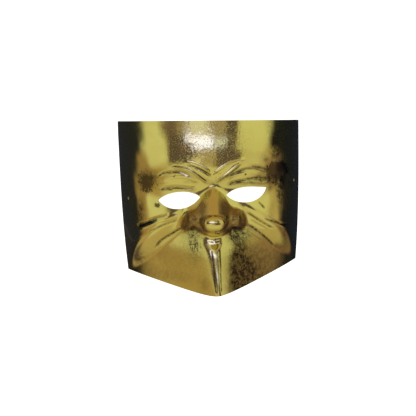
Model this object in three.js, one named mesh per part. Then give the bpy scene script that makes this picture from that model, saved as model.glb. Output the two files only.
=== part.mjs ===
import * as THREE from 'three';

// A bauta mask: one thin moulded shell with a gold face, two eye holes and two tie holes.
// It lies face up on its two long side rims. All sizes are in millimetres.
// X runs across the face, Y up to the forehead, Z out of the face, and Z = 0 is the rims' plane.
// A level on the face is its Y less what the face's slight tilt adds on one side.

// Wall and finish
const WALL = 1.2;
const GOLD = { color: 0xb9a13c, roughness: 0.25, metalness: 0.0 };

// Outline: side rims, straight top edge and the rounded V of the chin
const RIM_HALF_WIDTH = 89.8;
const RIM_TAPER = { from: 74, run: 140, even: 2.2, chin: 4.1 };
const TOP_EDGE = { level: 80.25, tilt: -0.0195 };
const CHIN_EDGE = { level: -81.98, round: 11.6, rise: 0.265, tilt: 0.034 };
const FACE_TILT = 0.05;

// Height of the shell over the rims along the middle of the face, without the nose: [level, height]
const MIDDLE_PROFILE = [
  [-95, 97.5],
  [-82, 95.5],
  [-60, 91.5],
  [-42, 88.5],
  [-32, 85.5],
  [-18, 79],
  [0, 75],
  [20, 74.5],
  [38, 79.5],
  [60, 79.5],
  [82, 75.5],
  [95, 73],
];

// Cross-sections: a round vault over the forehead and cheeks, a keeled prow over mouth and chin
const VAULT_FULLNESS = 0.96;
const KEEL_ROUNDING = 0.125;
const PROW = { from: 6, run: 30, beside: 28, falls: 0.75, blend: 6, share: 0.8 };
const LEAN = { eyes: 0.6, chin: 3.0, from: -20, run: 60 };
const PAST_RIM = 1.03;

// Lip: a level step under the nose and a three-cornered facet that rises from it to the keel
const LIP = { height: 82.3, crease: -33, slope: 0.78, fades: [-12, -2], lifts: 60, blend: 2.2 };

// Nose: a wedge that rises from between the brows to a level top, a wing on each side and a tip
const NOSE_MIDDLE = 0.8;
const BRIDGE = { root: 19, rootHeight: 73.5, slope: 1, top: 101.5, round: 4.5 };
const FLANKS = { left: 1.32, right: 1.5 };
const WINGS = [
  { at: [-22.5, -10.5], across: 6.5, along: 8.5, depth: 6.5 },
  { at: [25, -11], across: 6, along: 8.5, depth: 11 },
];
const TIP = { at: [0.6, -14], across: 10.5, along: 7.6, top: 107, depth: 7 };
const DOME = { limit: 0.93, skirt: 4.6 };

// Foot of the nose's steep lower end, as [x, y] pairs, and the height and slope of that end
const NOSE_FOOT = [
  [-30, -16],
  [-26.5, -19.9],
  [-22, -19.3],
  [-17.5, -18.8],
  [-11.7, -24],
  [-4.4, -28.3],
  [1.1, -29.4],
  [7.7, -28.2],
  [14.4, -23.9],
  [18.2, -20.4],
  [25.8, -19.6],
  [31, -16],
];
const NOSE_END = { height: 77, slope: 3.4 };
const NOSE_BLEND = { top: 3, end: 1.4, tip: 1.4, foot: 2.6 };

// Broad hollows: eye sockets, the corners beside the bridge, and the temples
const HOLLOWS = [
  { at: [-31, 8], across: 25, along: 13, depth: 2.4 },
  { at: [33.5, 11], across: 25, along: 13, depth: 2.4 },
  { at: [-14, 15], across: 8, along: 7, depth: 1.8 },
  { at: [15, 15.5], across: 8, along: 7, depth: 1.8 },
  { at: [-70, 26], across: 11, along: 13, depth: 2.2 },
  { at: [70, 30], across: 11, along: 13, depth: 2.2 },
];

// Hollows and folds fade out down to the rims, from this height of the large form
const SKIN_FADE = 12;

// Folds of the skin: raised where height is above zero, sunk where it is below
const FOLD_END = 6;
const FINEST_FOLD = 2.1;
const FOLDS = [
  { name: 'frown, right arm', height: 0.9, half: 1.04, path: [[0, 30], [17, 39.6], [33.3, 43.8]] },
  { name: 'frown, inner', height: 0.48, half: 0.78, path: [[1.5, 26.2], [6.6, 29], [12.3, 32.1]] },
  { name: 'brow line, right', height: 0.96, half: 1.04, path: [[1.8, 21], [14.1, 29.6], [29, 41.2]] },
  { name: 'cut under it', height: -0.72, half: 0.78, path: [[3.7, 20.6], [11.5, 26], [19, 31]] },
  {
    name: 'brow groove, right', height: -1.02, half: 1.3,
    path: [[16, 29.5], [30, 33.8], [42, 33.4], [56, 27.4]],
  },
  {
    name: 'brow pad, right', height: 0.66, half: 1.56,
    path: [[13, 25], [22.6, 28.6], [34, 29.6], [48, 27]],
  },
  {
    name: 'lid groove, right', height: -0.9, half: 1.04,
    path: [[13, 19.5], [25, 23], [40, 23.6], [56, 21]],
  },
  {
    name: 'lid ridge, right', height: 0.66, half: 0.98,
    path: [[15, 17.4], [23, 20.2], [38, 21.4], [54, 19]],
  },
  {
    name: 'frown, left arm', height: 0.96, half: 1.1,
    path: [[-25, 42.4], [-14, 39], [-5, 34.2], [0, 30]],
  },
  { name: 'cut under it', height: -0.72, half: 0.78, path: [[-17, 37.6], [-8, 33.2], [0, 27.6]] },
  {
    name: 'brow line, left', height: 0.9, half: 1.04,
    path: [[-37, 37.7], [-22, 35], [-13, 29.3], [-3, 20.5]],
  },
  {
    name: 'brow groove, left', height: -0.96, half: 1.37,
    path: [[-52, 29], [-41, 33.2], [-29, 33.4], [-17, 28]],
  },
  {
    name: 'brow pad, left', height: 0.66, half: 1.56,
    path: [[-50, 24.5], [-36, 28], [-23, 27.6], [-11, 22.5]],
  },
  {
    name: 'lid groove, left', height: -0.78, half: 1.04,
    path: [[-51, 17.4], [-40, 18.6], [-28, 18.4], [-14, 16]],
  },
  {
    name: 'lid ridge, left', height: 0.54, half: 0.98,
    path: [[-51, 20.5], [-40, 21.8], [-27, 21.4], [-12, 19]],
  },
  {
    name: 'cheek cord', height: 1.14, half: 1.3,
    path: [[-29.6, -7.7], [-42, -11], [-53, -15.2], [-72, -23]],
  },
  { name: 'groove over it', height: -0.9, half: 1.3, path: [[-40, -7], [-54, -11.4], [-74, -19.6]] },
  {
    name: 'groove under it', height: -0.78, half: 1.04,
    path: [[-31, -12], [-47, -17.6], [-62, -24.5]],
  },
  {
    name: 'smile line, left', height: -0.96, half: 1.04,
    path: [[-26.5, -19], [-42, -28], [-50, -33.5], [-56, -41]],
  },
  {
    name: 'cheek groove, right', height: -0.84, half: 1.04,
    path: [[31, -5.5], [45.5, -16.5], [60, -25.5]],
  },
  {
    name: 'smile line, right', height: -1.02, half: 1.04,
    path: [[33, -18], [47.2, -29.6], [61, -43.5]],
  },
  {
    name: 'outer cheek, right', height: -0.78, half: 1.17,
    path: [[48, -13], [61.6, -19], [75, -23.6]],
  },
  {
    name: 'lip crease', height: 0.48, half: 0.78,
    path: [[-8.6, -31.8], [0.7, -33.5], [10.6, -31.4]],
  },
];

// Eye holes: corner to corner over the top and back along the bottom, as two Bezier curves
const EYES = [
  {
    outer: [-51.4, 6],
    over: [[-45.1, 13.2], [-22.4, 18.3]],
    inner: [-11.2, 9.2],
    under: [[-23.7, -7], [-44.3, -3.6]],
  },
  {
    outer: [53, 15.3],
    over: [[41.4, 16.6], [23.8, 20]],
    inner: [13.6, 10.3],
    under: [[22.9, -1.4], [48.2, -0.2]],
  },
];
const EYE_MARGIN = 8.5;
const EYE_RINGS = 4;

// Tie holes near the side rims
const TIES = [[-80.9, 6.5], [82.3, 19.6]];
const TIE_RADIUS = 1.3;

// Facets: how many columns across, how they crowd to the middle, and the bands of rows
const COLUMNS = 54;
const CROWDING = 0.28;
const BANDS = [
  { from: 'chin', to: -44, rows: 4 },
  { from: -44, to: 18, rows: 23 },
  { from: 18, to: 46, rows: 11 },
  { from: 46, to: 'top', rows: 3 },
];

// Half the distance over which a slope is taken
const PROBE = 0.6;

const clamp = THREE.MathUtils.clamp;
const lerp = THREE.MathUtils.lerp;

function ease(from, to, value) {
  const t = clamp((value - from) / (to - from), 0, 1);
  return t * t * (3 - 2 * t);
}

function softMin(a, b, blend) {
  return (a + b - Math.hypot(a - b, blend)) / 2;
}

function softMax(a, b, blend) {
  return (a + b + Math.hypot(a - b, blend)) / 2;
}

// Smooth curve through a list of [place, value] pairs whose places go up
function through(points, place) {
  const last = points.length - 1;
  let i = 0;
  while (i < last - 1 && place > points[i + 1][0]) i += 1;
  const slopeAt = (k) => {
    const [a, b] = [points[Math.max(k - 1, 0)], points[Math.min(k + 1, last)]];
    return (b[1] - a[1]) / (b[0] - a[0]);
  };
  const [[x0, y0], [x1, y1]] = [points[i], points[i + 1]];
  const run = x1 - x0;
  const t = clamp((place - x0) / run, 0, 1);
  const bend = t * t * (3 - 2 * t);
  const enter = slopeAt(i) * run * t * (1 - t) * (1 - t);
  const leave = slopeAt(i + 1) * run * t * t * (1 - t);
  return y0 + (y1 - y0) * bend + enter - leave;
}

// The outline
function levelOf(x, y) {
  return y - FACE_TILT * x;
}

function halfWidth(level) {
  const down = Math.max(0, (RIM_TAPER.from - level) / RIM_TAPER.run);
  return RIM_HALF_WIDTH - RIM_TAPER.even * down - RIM_TAPER.chin * down ** 3;
}

function topEdge(x) {
  return TOP_EDGE.level + TOP_EDGE.tilt * x;
}

function chinEdge(x) {
  const { level, round, rise, tilt } = CHIN_EDGE;
  return level + rise * (Math.hypot(x, round) - round) + tilt * x;
}

// The large form: vault above, prow below
function vault(t) {
  const rim = Math.sqrt(1 - VAULT_FULLNESS ** 2);
  return (Math.sqrt(Math.max(0, 1 - (VAULT_FULLNESS * t) ** 2)) - rim) / (1 - rim);
}

function prow(t) {
  const rim = Math.hypot(1, KEEL_ROUNDING);
  return (rim - Math.hypot(t, KEEL_ROUNDING)) / (rim - KEEL_ROUNDING);
}

function largeForm(x, y) {
  const level = levelOf(x, y);
  const width = halfWidth(level);
  const lean = LEAN.eyes + LEAN.chin * Math.max(0, (LEAN.from - level) / LEAN.run) ** 1.5;
  const t = Math.min(PAST_RIM, Math.abs(x - lean * (1 - (x / width) ** 2)) / width);
  const start = PROW.from - PROW.falls * softMax(0, Math.abs(x) - PROW.beside, PROW.blend);
  const keeled = PROW.share * ease(start, start - PROW.run, level);
  const shell = through(MIDDLE_PROFILE, level) * lerp(vault(t), prow(t), keeled);
  const facet = LIP.height + LIP.slope * softMax(0, LIP.crease - level, LIP.blend);
  const lipless = LIP.lifts * ease(LIP.fades[0], LIP.fades[1], level);
  return softMin(shell, facet + lipless, LIP.blend);
}

// Height of soft oval swellings or hollows
function ovals(patches, x, y) {
  return patches.reduce((sum, { at, across, along, depth }) => {
    return sum + depth * Math.exp(-(((x - at[0]) / across) ** 2) - ((y - at[1]) / along) ** 2);
  }, 0);
}

// The nose
function dome({ at, across, along, top, depth }, x, y) {
  const r = Math.hypot((x - at[0]) / across, (y - at[1]) / along);
  const inner = Math.min(r, DOME.limit);
  const fall = depth * (1 - Math.sqrt(1 - inner * inner)) + DOME.skirt * across * (r - inner);
  return top - fall;
}

function nose(x, y) {
  const side = x - NOSE_MIDDLE;
  const steepness = side < 0 ? FLANKS.left : FLANKS.right;
  const flank = steepness * (Math.hypot(side, BRIDGE.round) - BRIDGE.round);
  const rise = BRIDGE.rootHeight + BRIDGE.slope * (BRIDGE.root - y);
  const wedge = softMin(rise, BRIDGE.top, NOSE_BLEND.top) - flank;
  const winged = wedge + ovals(WINGS, x, y);
  const end = NOSE_END.height + NOSE_END.slope * (y - through(NOSE_FOOT, x));
  return softMax(softMin(winged, end, NOSE_BLEND.end), dome(TIP, x, y), NOSE_BLEND.tip);
}

// Folds
const foldLines = FOLDS.map(({ height, half, path }) => {
  const curve = new THREE.SplineCurve(path.map(([x, y]) => new THREE.Vector2(x, y)));
  const points = curve.getPoints(8 * (path.length - 1));
  const marks = [0];
  for (let i = 1; i < points.length; i += 1) {
    marks.push(marks[i - 1] + points[i].distanceTo(points[i - 1]));
  }
  return { height, half: Math.max(half, FINEST_FOLD), points, marks };
});

function fold({ height, half, points, marks }, x, y) {
  let nearest = Infinity;
  let place = 0;
  for (let i = 1; i < points.length; i += 1) {
    const [a, b] = [points[i - 1], points[i]];
    const [dx, dy] = [b.x - a.x, b.y - a.y];
    const t = clamp(((x - a.x) * dx + (y - a.y) * dy) / (dx * dx + dy * dy), 0, 1);
    const away = Math.hypot(x - a.x - t * dx, y - a.y - t * dy);
    if (away < nearest) {
      nearest = away;
      place = lerp(marks[i - 1], marks[i], t);
    }
  }
  const length = marks[marks.length - 1];
  const taper = ease(0, FOLD_END, place) * ease(0, FOLD_END, length - place);
  return height * taper * Math.exp(-((nearest / half) ** 2));
}

// Height of the outside over any place of the face
function outside(x, y) {
  const folded = foldLines.reduce((sum, line) => sum + fold(line, x, y), 0);
  const skin = largeForm(x, y) - ovals(HOLLOWS, x, y) + folded;
  const fade = ease(0, SKIN_FADE, largeForm(x, y));
  return softMax(lerp(largeForm(x, y), skin, fade), nose(x, y), NOSE_BLEND.foot);
}

function slopeOf(height, at) {
  return (height(at + PROBE) - height(at - PROBE)) / (2 * PROBE);
}

function outwardNormal(x, y) {
  const across = slopeOf((place) => outside(place, y), x);
  const along = slopeOf((place) => outside(x, place), y);
  return new THREE.Vector3(-across, -along, 1).normalize();
}

// Plan of the facets: nodes by column and row, with the side rims on the rims' plane
function rowLevels(x) {
  const edge = { chin: levelOf(x, chinEdge(x)), top: levelOf(x, topEdge(x)) };
  const levels = [edge.chin];
  for (const { from, to, rows } of BANDS) {
    const [low, high] = [edge[from] ?? from, edge[to] ?? to];
    for (let i = 1; i <= rows; i += 1) levels.push(lerp(low, high, i / rows));
  }
  return levels;
}

const ROWS = BANDS.reduce((sum, band) => sum + band.rows, 0);

function gridPoint(column, row) {
  const s = (2 * column) / COLUMNS - 1;
  const u = s * (1 - CROWDING) + CROWDING * s ** 3;
  let x = u * RIM_HALF_WIDTH;
  let level = 0;
  for (let pass = 0; pass < 8; pass += 1) {
    level = rowLevels(x)[row];
    x = u * halfWidth(level);
  }
  return new THREE.Vector2(x, level + FACE_TILT * x);
}

// A block of cells, given by its first and last column and row, and the nodes round it
function blockRound([c0, c1, r0, r1]) {
  const round = [];
  for (let c = c0; c < c1; c += 1) round.push([c, r0]);
  for (let r = r0; r < r1; r += 1) round.push([c1, r]);
  for (let c = c1; c > c0; c -= 1) round.push([c, r1]);
  for (let r = r1; r > r0; r -= 1) round.push([c0, r]);
  return round;
}

function eyeCurve({ outer, over, inner, under }) {
  const path = new THREE.Path();
  path.moveTo(...outer);
  path.bezierCurveTo(...over[0], ...over[1], ...inner);
  path.bezierCurveTo(...under[0], ...under[1], ...outer);
  return path.getSpacedPoints(720).slice(0, -1);
}

// Points of a closed outline that face the given points, as seen from its middle
function facing(outline, points) {
  const sum = outline.reduce((total, p) => total.add(p), new THREE.Vector2());
  const middle = sum.divideScalar(outline.length);
  const size = new THREE.Box2().setFromPoints(outline).getSize(new THREE.Vector2());
  const bearing = (p) => Math.atan2((p.y - middle.y) / size.y, (p.x - middle.x) / size.x);
  const bearings = outline.map(bearing);
  return points.map((point) => {
    const wanted = bearing(point);
    const gaps = bearings.map((b) => Math.abs(Math.atan2(Math.sin(b - wanted), Math.cos(b - wanted))));
    return outline[gaps.indexOf(Math.min(...gaps))];
  });
}

// The sheet: plan points, faces between them and the edges that stay open
function layOutSheet() {
  const plan = [];
  const faces = [];
  const openEdges = [];
  const add = (point, edge) => plan.push({ point, edge }) - 1;
  const taken = new Set();
  const key = (c, r) => `${c},${r}`;

  const grid = Array.from({ length: COLUMNS + 1 }, (_, c) =>
    Array.from({ length: ROWS + 1 }, (_, r) => gridPoint(c, r)));
  const nearest = (values, wanted) => {
    const gaps = values.map((value) => Math.abs(value - wanted));
    return gaps.indexOf(Math.min(...gaps));
  };
  const rowAt = (column, y) => nearest(grid[column].map((p) => p.y), y);
  const columnAt = (x, y) => nearest(grid.map((line, c) => line[rowAt(c, y)].x), x);

  const blocks = [];
  for (const eye of EYES) {
    const outline = eyeCurve(eye);
    const box = new THREE.Box2().setFromPoints(outline).expandByScalar(EYE_MARGIN);
    const middle = box.getCenter(new THREE.Vector2());
    const column = columnAt(middle.x, middle.y);
    const block = [columnAt(box.min.x, middle.y), columnAt(box.max.x, middle.y)];
    block.push(rowAt(column, box.min.y), rowAt(column, box.max.y));
    blocks.push({ block, rings: EYE_RINGS, hole: (round) => facing(outline, round) });
  }
  for (const [x, y] of TIES) {
    const column = columnAt(x, y);
    const row = rowAt(column, y);
    const normal = outwardNormal(x, y);
    const circle = new THREE.EllipseCurve(x, y, TIE_RADIUS * normal.z, TIE_RADIUS);
    const outline = circle.getPoints(360).slice(0, -1);
    const block = [column - 1, column + 1, row - 1, row + 1];
    blocks.push({ block, rings: 1, hole: (round) => facing(outline, round) });
  }

  for (const { block: [c0, c1, r0, r1] } of blocks) {
    for (let c = c0; c < c1; c += 1) {
      for (let r = r0; r < r1; r += 1) taken.add(key(c, r));
    }
  }

  const nodes = new Map();
  const node = (c, r) => {
    if (!nodes.has(key(c, r))) {
      const onRim = c === 0 || c === COLUMNS;
      const onTrim = r === 0 || r === ROWS;
      nodes.set(key(c, r), add(grid[c][r], onRim ? 'rim' : onTrim ? 'trim' : null));
    }
    return nodes.get(key(c, r));
  };
  for (let c = 0; c < COLUMNS; c += 1) {
    for (let r = 0; r < ROWS; r += 1) {
      const corners = [[c, r], [c + 1, r], [c + 1, r + 1], [c, r + 1]];
      if (!taken.has(key(c, r))) faces.push(corners.map((corner) => node(...corner)));
    }
  }
  const border = blockRound([0, COLUMNS, 0, ROWS]).map(([c, r]) => node(c, r));
  border.forEach((a, i) => openEdges.push([a, border[(i + 1) % border.length]]));

  for (const { block, rings, hole } of blocks) {
    const round = blockRound(block);
    const points = round.map(([c, r]) => grid[c][r]);
    const inner = hole(points);
    let outerRing = round.map(([c, r]) => node(c, r));
    for (let ring = 1; ring <= rings; ring += 1) {
      const reach = ring / rings;
      const ringNodes = points.map((p, i) => add(p.clone().lerp(inner[i], reach), null));
      outerRing.forEach((a, i) => {
        const next = (i + 1) % outerRing.length;
        faces.push([a, outerRing[next], ringNodes[next], ringNodes[i]]);
      });
      outerRing = ringNodes;
    }
    outerRing.forEach((a, i) => openEdges.push([outerRing[(i + 1) % outerRing.length], a]));
  }
  return { plan, faces, openEdges };
}

// Way from the outside to the inside. On a trimmed edge it stays in the face that the cut leaves.
function inward({ point, edge }) {
  const normal = outwardNormal(point.x, point.y);
  const way = normal.clone();
  const slope = slopeOf(point.y > 0 ? topEdge : chinEdge, point.x);
  if (edge === 'rim') way.set(1, slope, 0);
  if (edge === 'trim') {
    const across = new THREE.Vector3(-slope, 1, 0).normalize();
    way.addScaledVector(across, -normal.dot(across));
  }
  return way.multiplyScalar(-WALL / way.dot(normal));
}

// The closed shell: outside, inside and the cut edges between them
function buildShell() {
  const { plan, faces, openEdges } = layOutSheet();
  const positions = [];
  const push = (v) => positions.push(v.x, v.y, v.z);
  const tops = plan.map(({ point, edge }) =>
    new THREE.Vector3(point.x, point.y, edge === 'rim' ? 0 : outside(point.x, point.y)));
  tops.forEach(push);
  plan.forEach((place, i) => push(tops[i].clone().add(inward(place))));
  const count = plan.length;
  const index = [];
  const quad = (a, b, c, d) => index.push(a, b, c, a, c, d);
  for (const [a, b, c, d] of faces) {
    const straight = tops[a].distanceTo(tops[c]) <= tops[b].distanceTo(tops[d]);
    const [p, q, r, s] = straight ? [a, b, c, d] : [b, c, d, a];
    quad(p, q, r, s);
    quad(p + count, s + count, r + count, q + count);
  }
  for (const [a, b] of openEdges) quad(b, a, a + count, b + count);
  const geometry = new THREE.BufferGeometry();
  geometry.setAttribute('position', new THREE.Float32BufferAttribute(positions, 3));
  geometry.setIndex(index);
  geometry.computeVertexNormals();
  return geometry;
}

const shell = new THREE.Mesh(buildShell(), new THREE.MeshStandardMaterial(GOLD));
shell.name = 'mask_shell';

const mask = new THREE.Group();
mask.add(shell);

export default mask;
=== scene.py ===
"""Dressed model of a bauta mask: one thin moulded shell under crinkled gold film.

The mask lies face up on its two side rims on a pale table. Its sizes are in millimetres, kept as
fields of the classes below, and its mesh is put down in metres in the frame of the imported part.
"""

import logging
import math
from dataclasses import dataclass
from enum import Enum, IntEnum

import bmesh
import bpy
import numpy as np
from mathutils import Matrix, Vector

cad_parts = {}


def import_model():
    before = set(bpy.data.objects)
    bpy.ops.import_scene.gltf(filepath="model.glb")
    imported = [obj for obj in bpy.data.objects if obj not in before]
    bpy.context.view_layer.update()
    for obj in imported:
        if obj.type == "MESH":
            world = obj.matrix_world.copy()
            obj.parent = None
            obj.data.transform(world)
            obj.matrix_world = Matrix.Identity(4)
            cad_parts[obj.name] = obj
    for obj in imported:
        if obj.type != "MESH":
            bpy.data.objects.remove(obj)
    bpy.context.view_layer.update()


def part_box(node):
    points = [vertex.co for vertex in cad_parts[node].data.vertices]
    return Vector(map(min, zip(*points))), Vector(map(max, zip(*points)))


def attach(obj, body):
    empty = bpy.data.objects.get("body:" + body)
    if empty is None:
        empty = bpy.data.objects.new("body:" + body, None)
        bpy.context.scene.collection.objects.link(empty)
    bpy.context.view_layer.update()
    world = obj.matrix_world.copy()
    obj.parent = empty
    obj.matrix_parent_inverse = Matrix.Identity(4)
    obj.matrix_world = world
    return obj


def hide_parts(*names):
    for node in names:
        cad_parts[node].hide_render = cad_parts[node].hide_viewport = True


LOG = logging.getLogger("bauta_mask")
MM = 0.001
Array = np.ndarray
Pair = tuple[float, float]
Colour = tuple[float, float, float]
POINTS_TO_A_SPAN = 8
FELT_REACH = 3.5


class Side(IntEnum):
    """Which face of the sheet a face of the mesh belongs to."""

    OUTSIDE = 0
    INSIDE = 1
    CUT_EDGE = 2


class Cut(IntEnum):
    """How a point of the sheet lies to the trimmed outline."""

    FREE = 0
    RIM = 1
    TRIM = 2
    HOLE = 3


class Attribute(str, Enum):
    """Names of what the shell's mesh carries for its modifier and its finishes.

    One attribute holds the painted shade of the grooves and of the shaded patches together.
    """

    SIDE = "side"
    AWAY = "away"
    CRINKLE = "crinkle"
    GROOVE_SHADE = "groove"
    BROWN_TONE_AND_SHADE = "brown_tone_and_shade"
    FLECK_SHADE = "fleck_shade"


def ease(start: float, end: float, value: Array) -> Array:
    """Smooth step of value, from 0 at start to 1 at end."""
    t = np.clip((value - start) / (end - start), 0.0, 1.0)
    return t * t * (3.0 - 2.0 * t)


def soft_min(a: Array, b: Array, blend: float) -> Array:
    """Smaller of two heights, rounded where they meet."""
    return (a + b - np.hypot(a - b, blend)) / 2.0


def soft_max(a: Array, b: Array, blend: float) -> Array:
    """Larger of two heights, rounded where they meet."""
    return (a + b + np.hypot(a - b, blend)) / 2.0


@dataclass(frozen=True)
class Profile:
    """Smooth curve through pairs of place and value, whose places go up."""

    pairs: tuple[Pair, ...]

    def at(self, place: Array) -> Array:
        """Read the curve.

        Args:
            place: Where to read it.

        Returns:
            The value at each place, held level past both ends.
        """
        xs, ys = np.array(self.pairs).T
        last = len(xs) - 1
        lower = np.maximum(np.arange(last + 1) - 1, 0)
        upper = np.minimum(np.arange(last + 1) + 1, last)
        slopes = (ys[upper] - ys[lower]) / (xs[upper] - xs[lower])
        i = np.clip(np.searchsorted(xs, place, side="left") - 1, 0, last - 1)
        run = xs[i + 1] - xs[i]
        t = np.clip((place - xs[i]) / run, 0.0, 1.0)
        rise = (ys[i + 1] - ys[i]) * t * t * (3.0 - 2.0 * t)
        enter = slopes[i] * run * t * (1.0 - t) ** 2
        leave = slopes[i + 1] * run * t * t * (1.0 - t)
        return ys[i] + rise + enter - leave


@dataclass(frozen=True)
class Trim:
    """The cut outline: two side rims, a straight top edge and the rounded V of the chin."""

    rim: float = 89.8
    taper_from: float = 74.0
    taper_run: float = 140.0
    taper_even: float = 2.2
    taper_chin: float = 4.1
    top: float = 80.25
    top_tilt: float = -0.0195
    chin: float = -81.98
    chin_round: float = 11.6
    chin_rise: float = 0.265
    chin_tilt: float = 0.034
    face_tilt: float = 0.05

    def level(self, x: Array, y: Array) -> Array:
        """Height up the slightly tilted face."""
        return y - self.face_tilt * x

    def half_width(self, level: Array) -> Array:
        """Distance from the middle to a side rim at a level."""
        down = np.maximum(0.0, (self.taper_from - level) / self.taper_run)
        return self.rim - self.taper_even * down - self.taper_chin * down**3

    def top_edge(self, x: Array) -> Array:
        """Place of the top edge over any place across."""
        return self.top + self.top_tilt * x

    def chin_edge(self, x: Array) -> Array:
        """Place of the chin edge over any place across."""
        bend = np.hypot(x, self.chin_round) - self.chin_round
        return self.chin + self.chin_rise * bend + self.chin_tilt * x


@dataclass(frozen=True)
class Patch:
    """A soft oval area of the face with a strength that fades outwards."""

    at: Pair
    across: float
    along: float
    depth: float

    def spread(self, x: Array, y: Array) -> Array:
        """Strength of the patch over the face."""
        reach = ((x - self.at[0]) / self.across) ** 2 + ((y - self.at[1]) / self.along) ** 2
        return self.depth * np.exp(-reach)


@dataclass(frozen=True)
class Dome:
    """A rounded body of the nose that falls away steeply past its own round."""

    at: Pair
    across: float
    along: float
    top: float
    depth: float
    limit: float = 0.93
    skirt: float = 4.6

    def height(self, x: Array, y: Array) -> Array:
        """Height of the body over any place of the face.

        Args:
            x: Places across the face.
            y: Places up the face.

        Returns:
            The height over the plane of the rims.
        """
        r = np.hypot((x - self.at[0]) / self.across, (y - self.at[1]) / self.along)
        inner = np.minimum(r, self.limit)
        fall = self.depth * (1.0 - np.sqrt(1.0 - inner * inner))
        fall = fall + self.skirt * self.across * (r - inner)
        return self.top - fall


@dataclass(frozen=True)
class Fold:
    """A stroke on the skin along a smooth path: a raised cord, or a groove where height is negative."""

    name: str
    height: float
    half: float
    path: tuple[Pair, ...]
    # Painted shade drawn along the stroke, from 0 for none to 1 for the darkest.
    shade: float = 0.0
    end: float = 6.0

    def points(self) -> Array:
        """Points of the path, eight to a span.

        Returns:
            The points, in order along the stroke.
        """
        p = np.array(self.path, float)
        padded = np.vstack([p[:1], p, p[-1:]])
        s = np.linspace(0, len(p) - 1, POINTS_TO_A_SPAN * (len(p) - 1) + 1)
        i = np.minimum(s.astype(int), len(p) - 2)
        w = (s - i)[:, None]
        p0, p1, p2, p3 = (padded[i + k] for k in range(4))
        v0, v1 = (p2 - p0) / 2.0, (p3 - p1) / 2.0
        cubic = (2 * p1 - 2 * p2 + v0 + v1) * w**3
        square = (-3 * p1 + 3 * p2 - 2 * v0 - v1) * w * w
        return cubic + square + v0 * w + p1

    def swell(self, x: Array, y: Array, half: float) -> Array:
        """How much of the stroke is felt at each place.

        Args:
            x: Places across the face.
            y: Places up the face.
            half: Half width at which the stroke is down to about a third.

        Returns:
            A share from 0 to 1, that tapers to nothing at both ends of the path.
        """
        points = self.points()
        marks = np.r_[0.0, np.cumsum(np.linalg.norm(np.diff(points, axis=0), axis=1))]
        low, high = points.min(0) - FELT_REACH * half, points.max(0) + FELT_REACH * half
        near = (x > low[0]) & (x < high[0]) & (y > low[1]) & (y < high[1])
        share = np.zeros(x.shape)
        px, py = x[near], y[near]
        if not px.size:
            return share
        distance = np.full(px.shape, np.inf)
        place = np.zeros(px.shape)
        for k in range(1, len(points)):
            a, d = points[k - 1], points[k] - points[k - 1]
            t = np.clip(((px - a[0]) * d[0] + (py - a[1]) * d[1]) / (d @ d), 0.0, 1.0)
            away = np.hypot(px - a[0] - t * d[0], py - a[1] - t * d[1])
            closer = away < distance
            distance = np.where(closer, away, distance)
            place = np.where(closer, marks[k - 1] + t * (marks[k] - marks[k - 1]), place)
        taper = ease(0.0, self.end, place) * ease(0.0, self.end, marks[-1] - place)
        share[near] = taper * np.exp(-((distance / half) ** 2))
        return share


@dataclass(frozen=True)
class EyeHole:
    """An almond hole: over the top from the outer to the inner corner, and back along the bottom."""

    outer: Pair
    over: tuple[Pair, Pair]
    inner: Pair
    under: tuple[Pair, Pair]

    def outline(self, count: int = 1440) -> Array:
        """Points round the hole's edge.

        Args:
            count: How many points to give.

        Returns:
            The points, once round the hole.
        """
        t = np.linspace(0.0, 1.0, count // 2, endpoint=False)[:, None]
        halves = ((self.outer, *self.over, self.inner), (self.inner, *self.under, self.outer))
        parts = []
        for corners in halves:
            a, b, c, d = (np.array(p) for p in corners)
            u = 1.0 - t
            parts.append(u**3 * a + 3 * u * u * t * b + 3 * u * t * t * c + t**3 * d)
        return np.vstack(parts)


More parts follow.
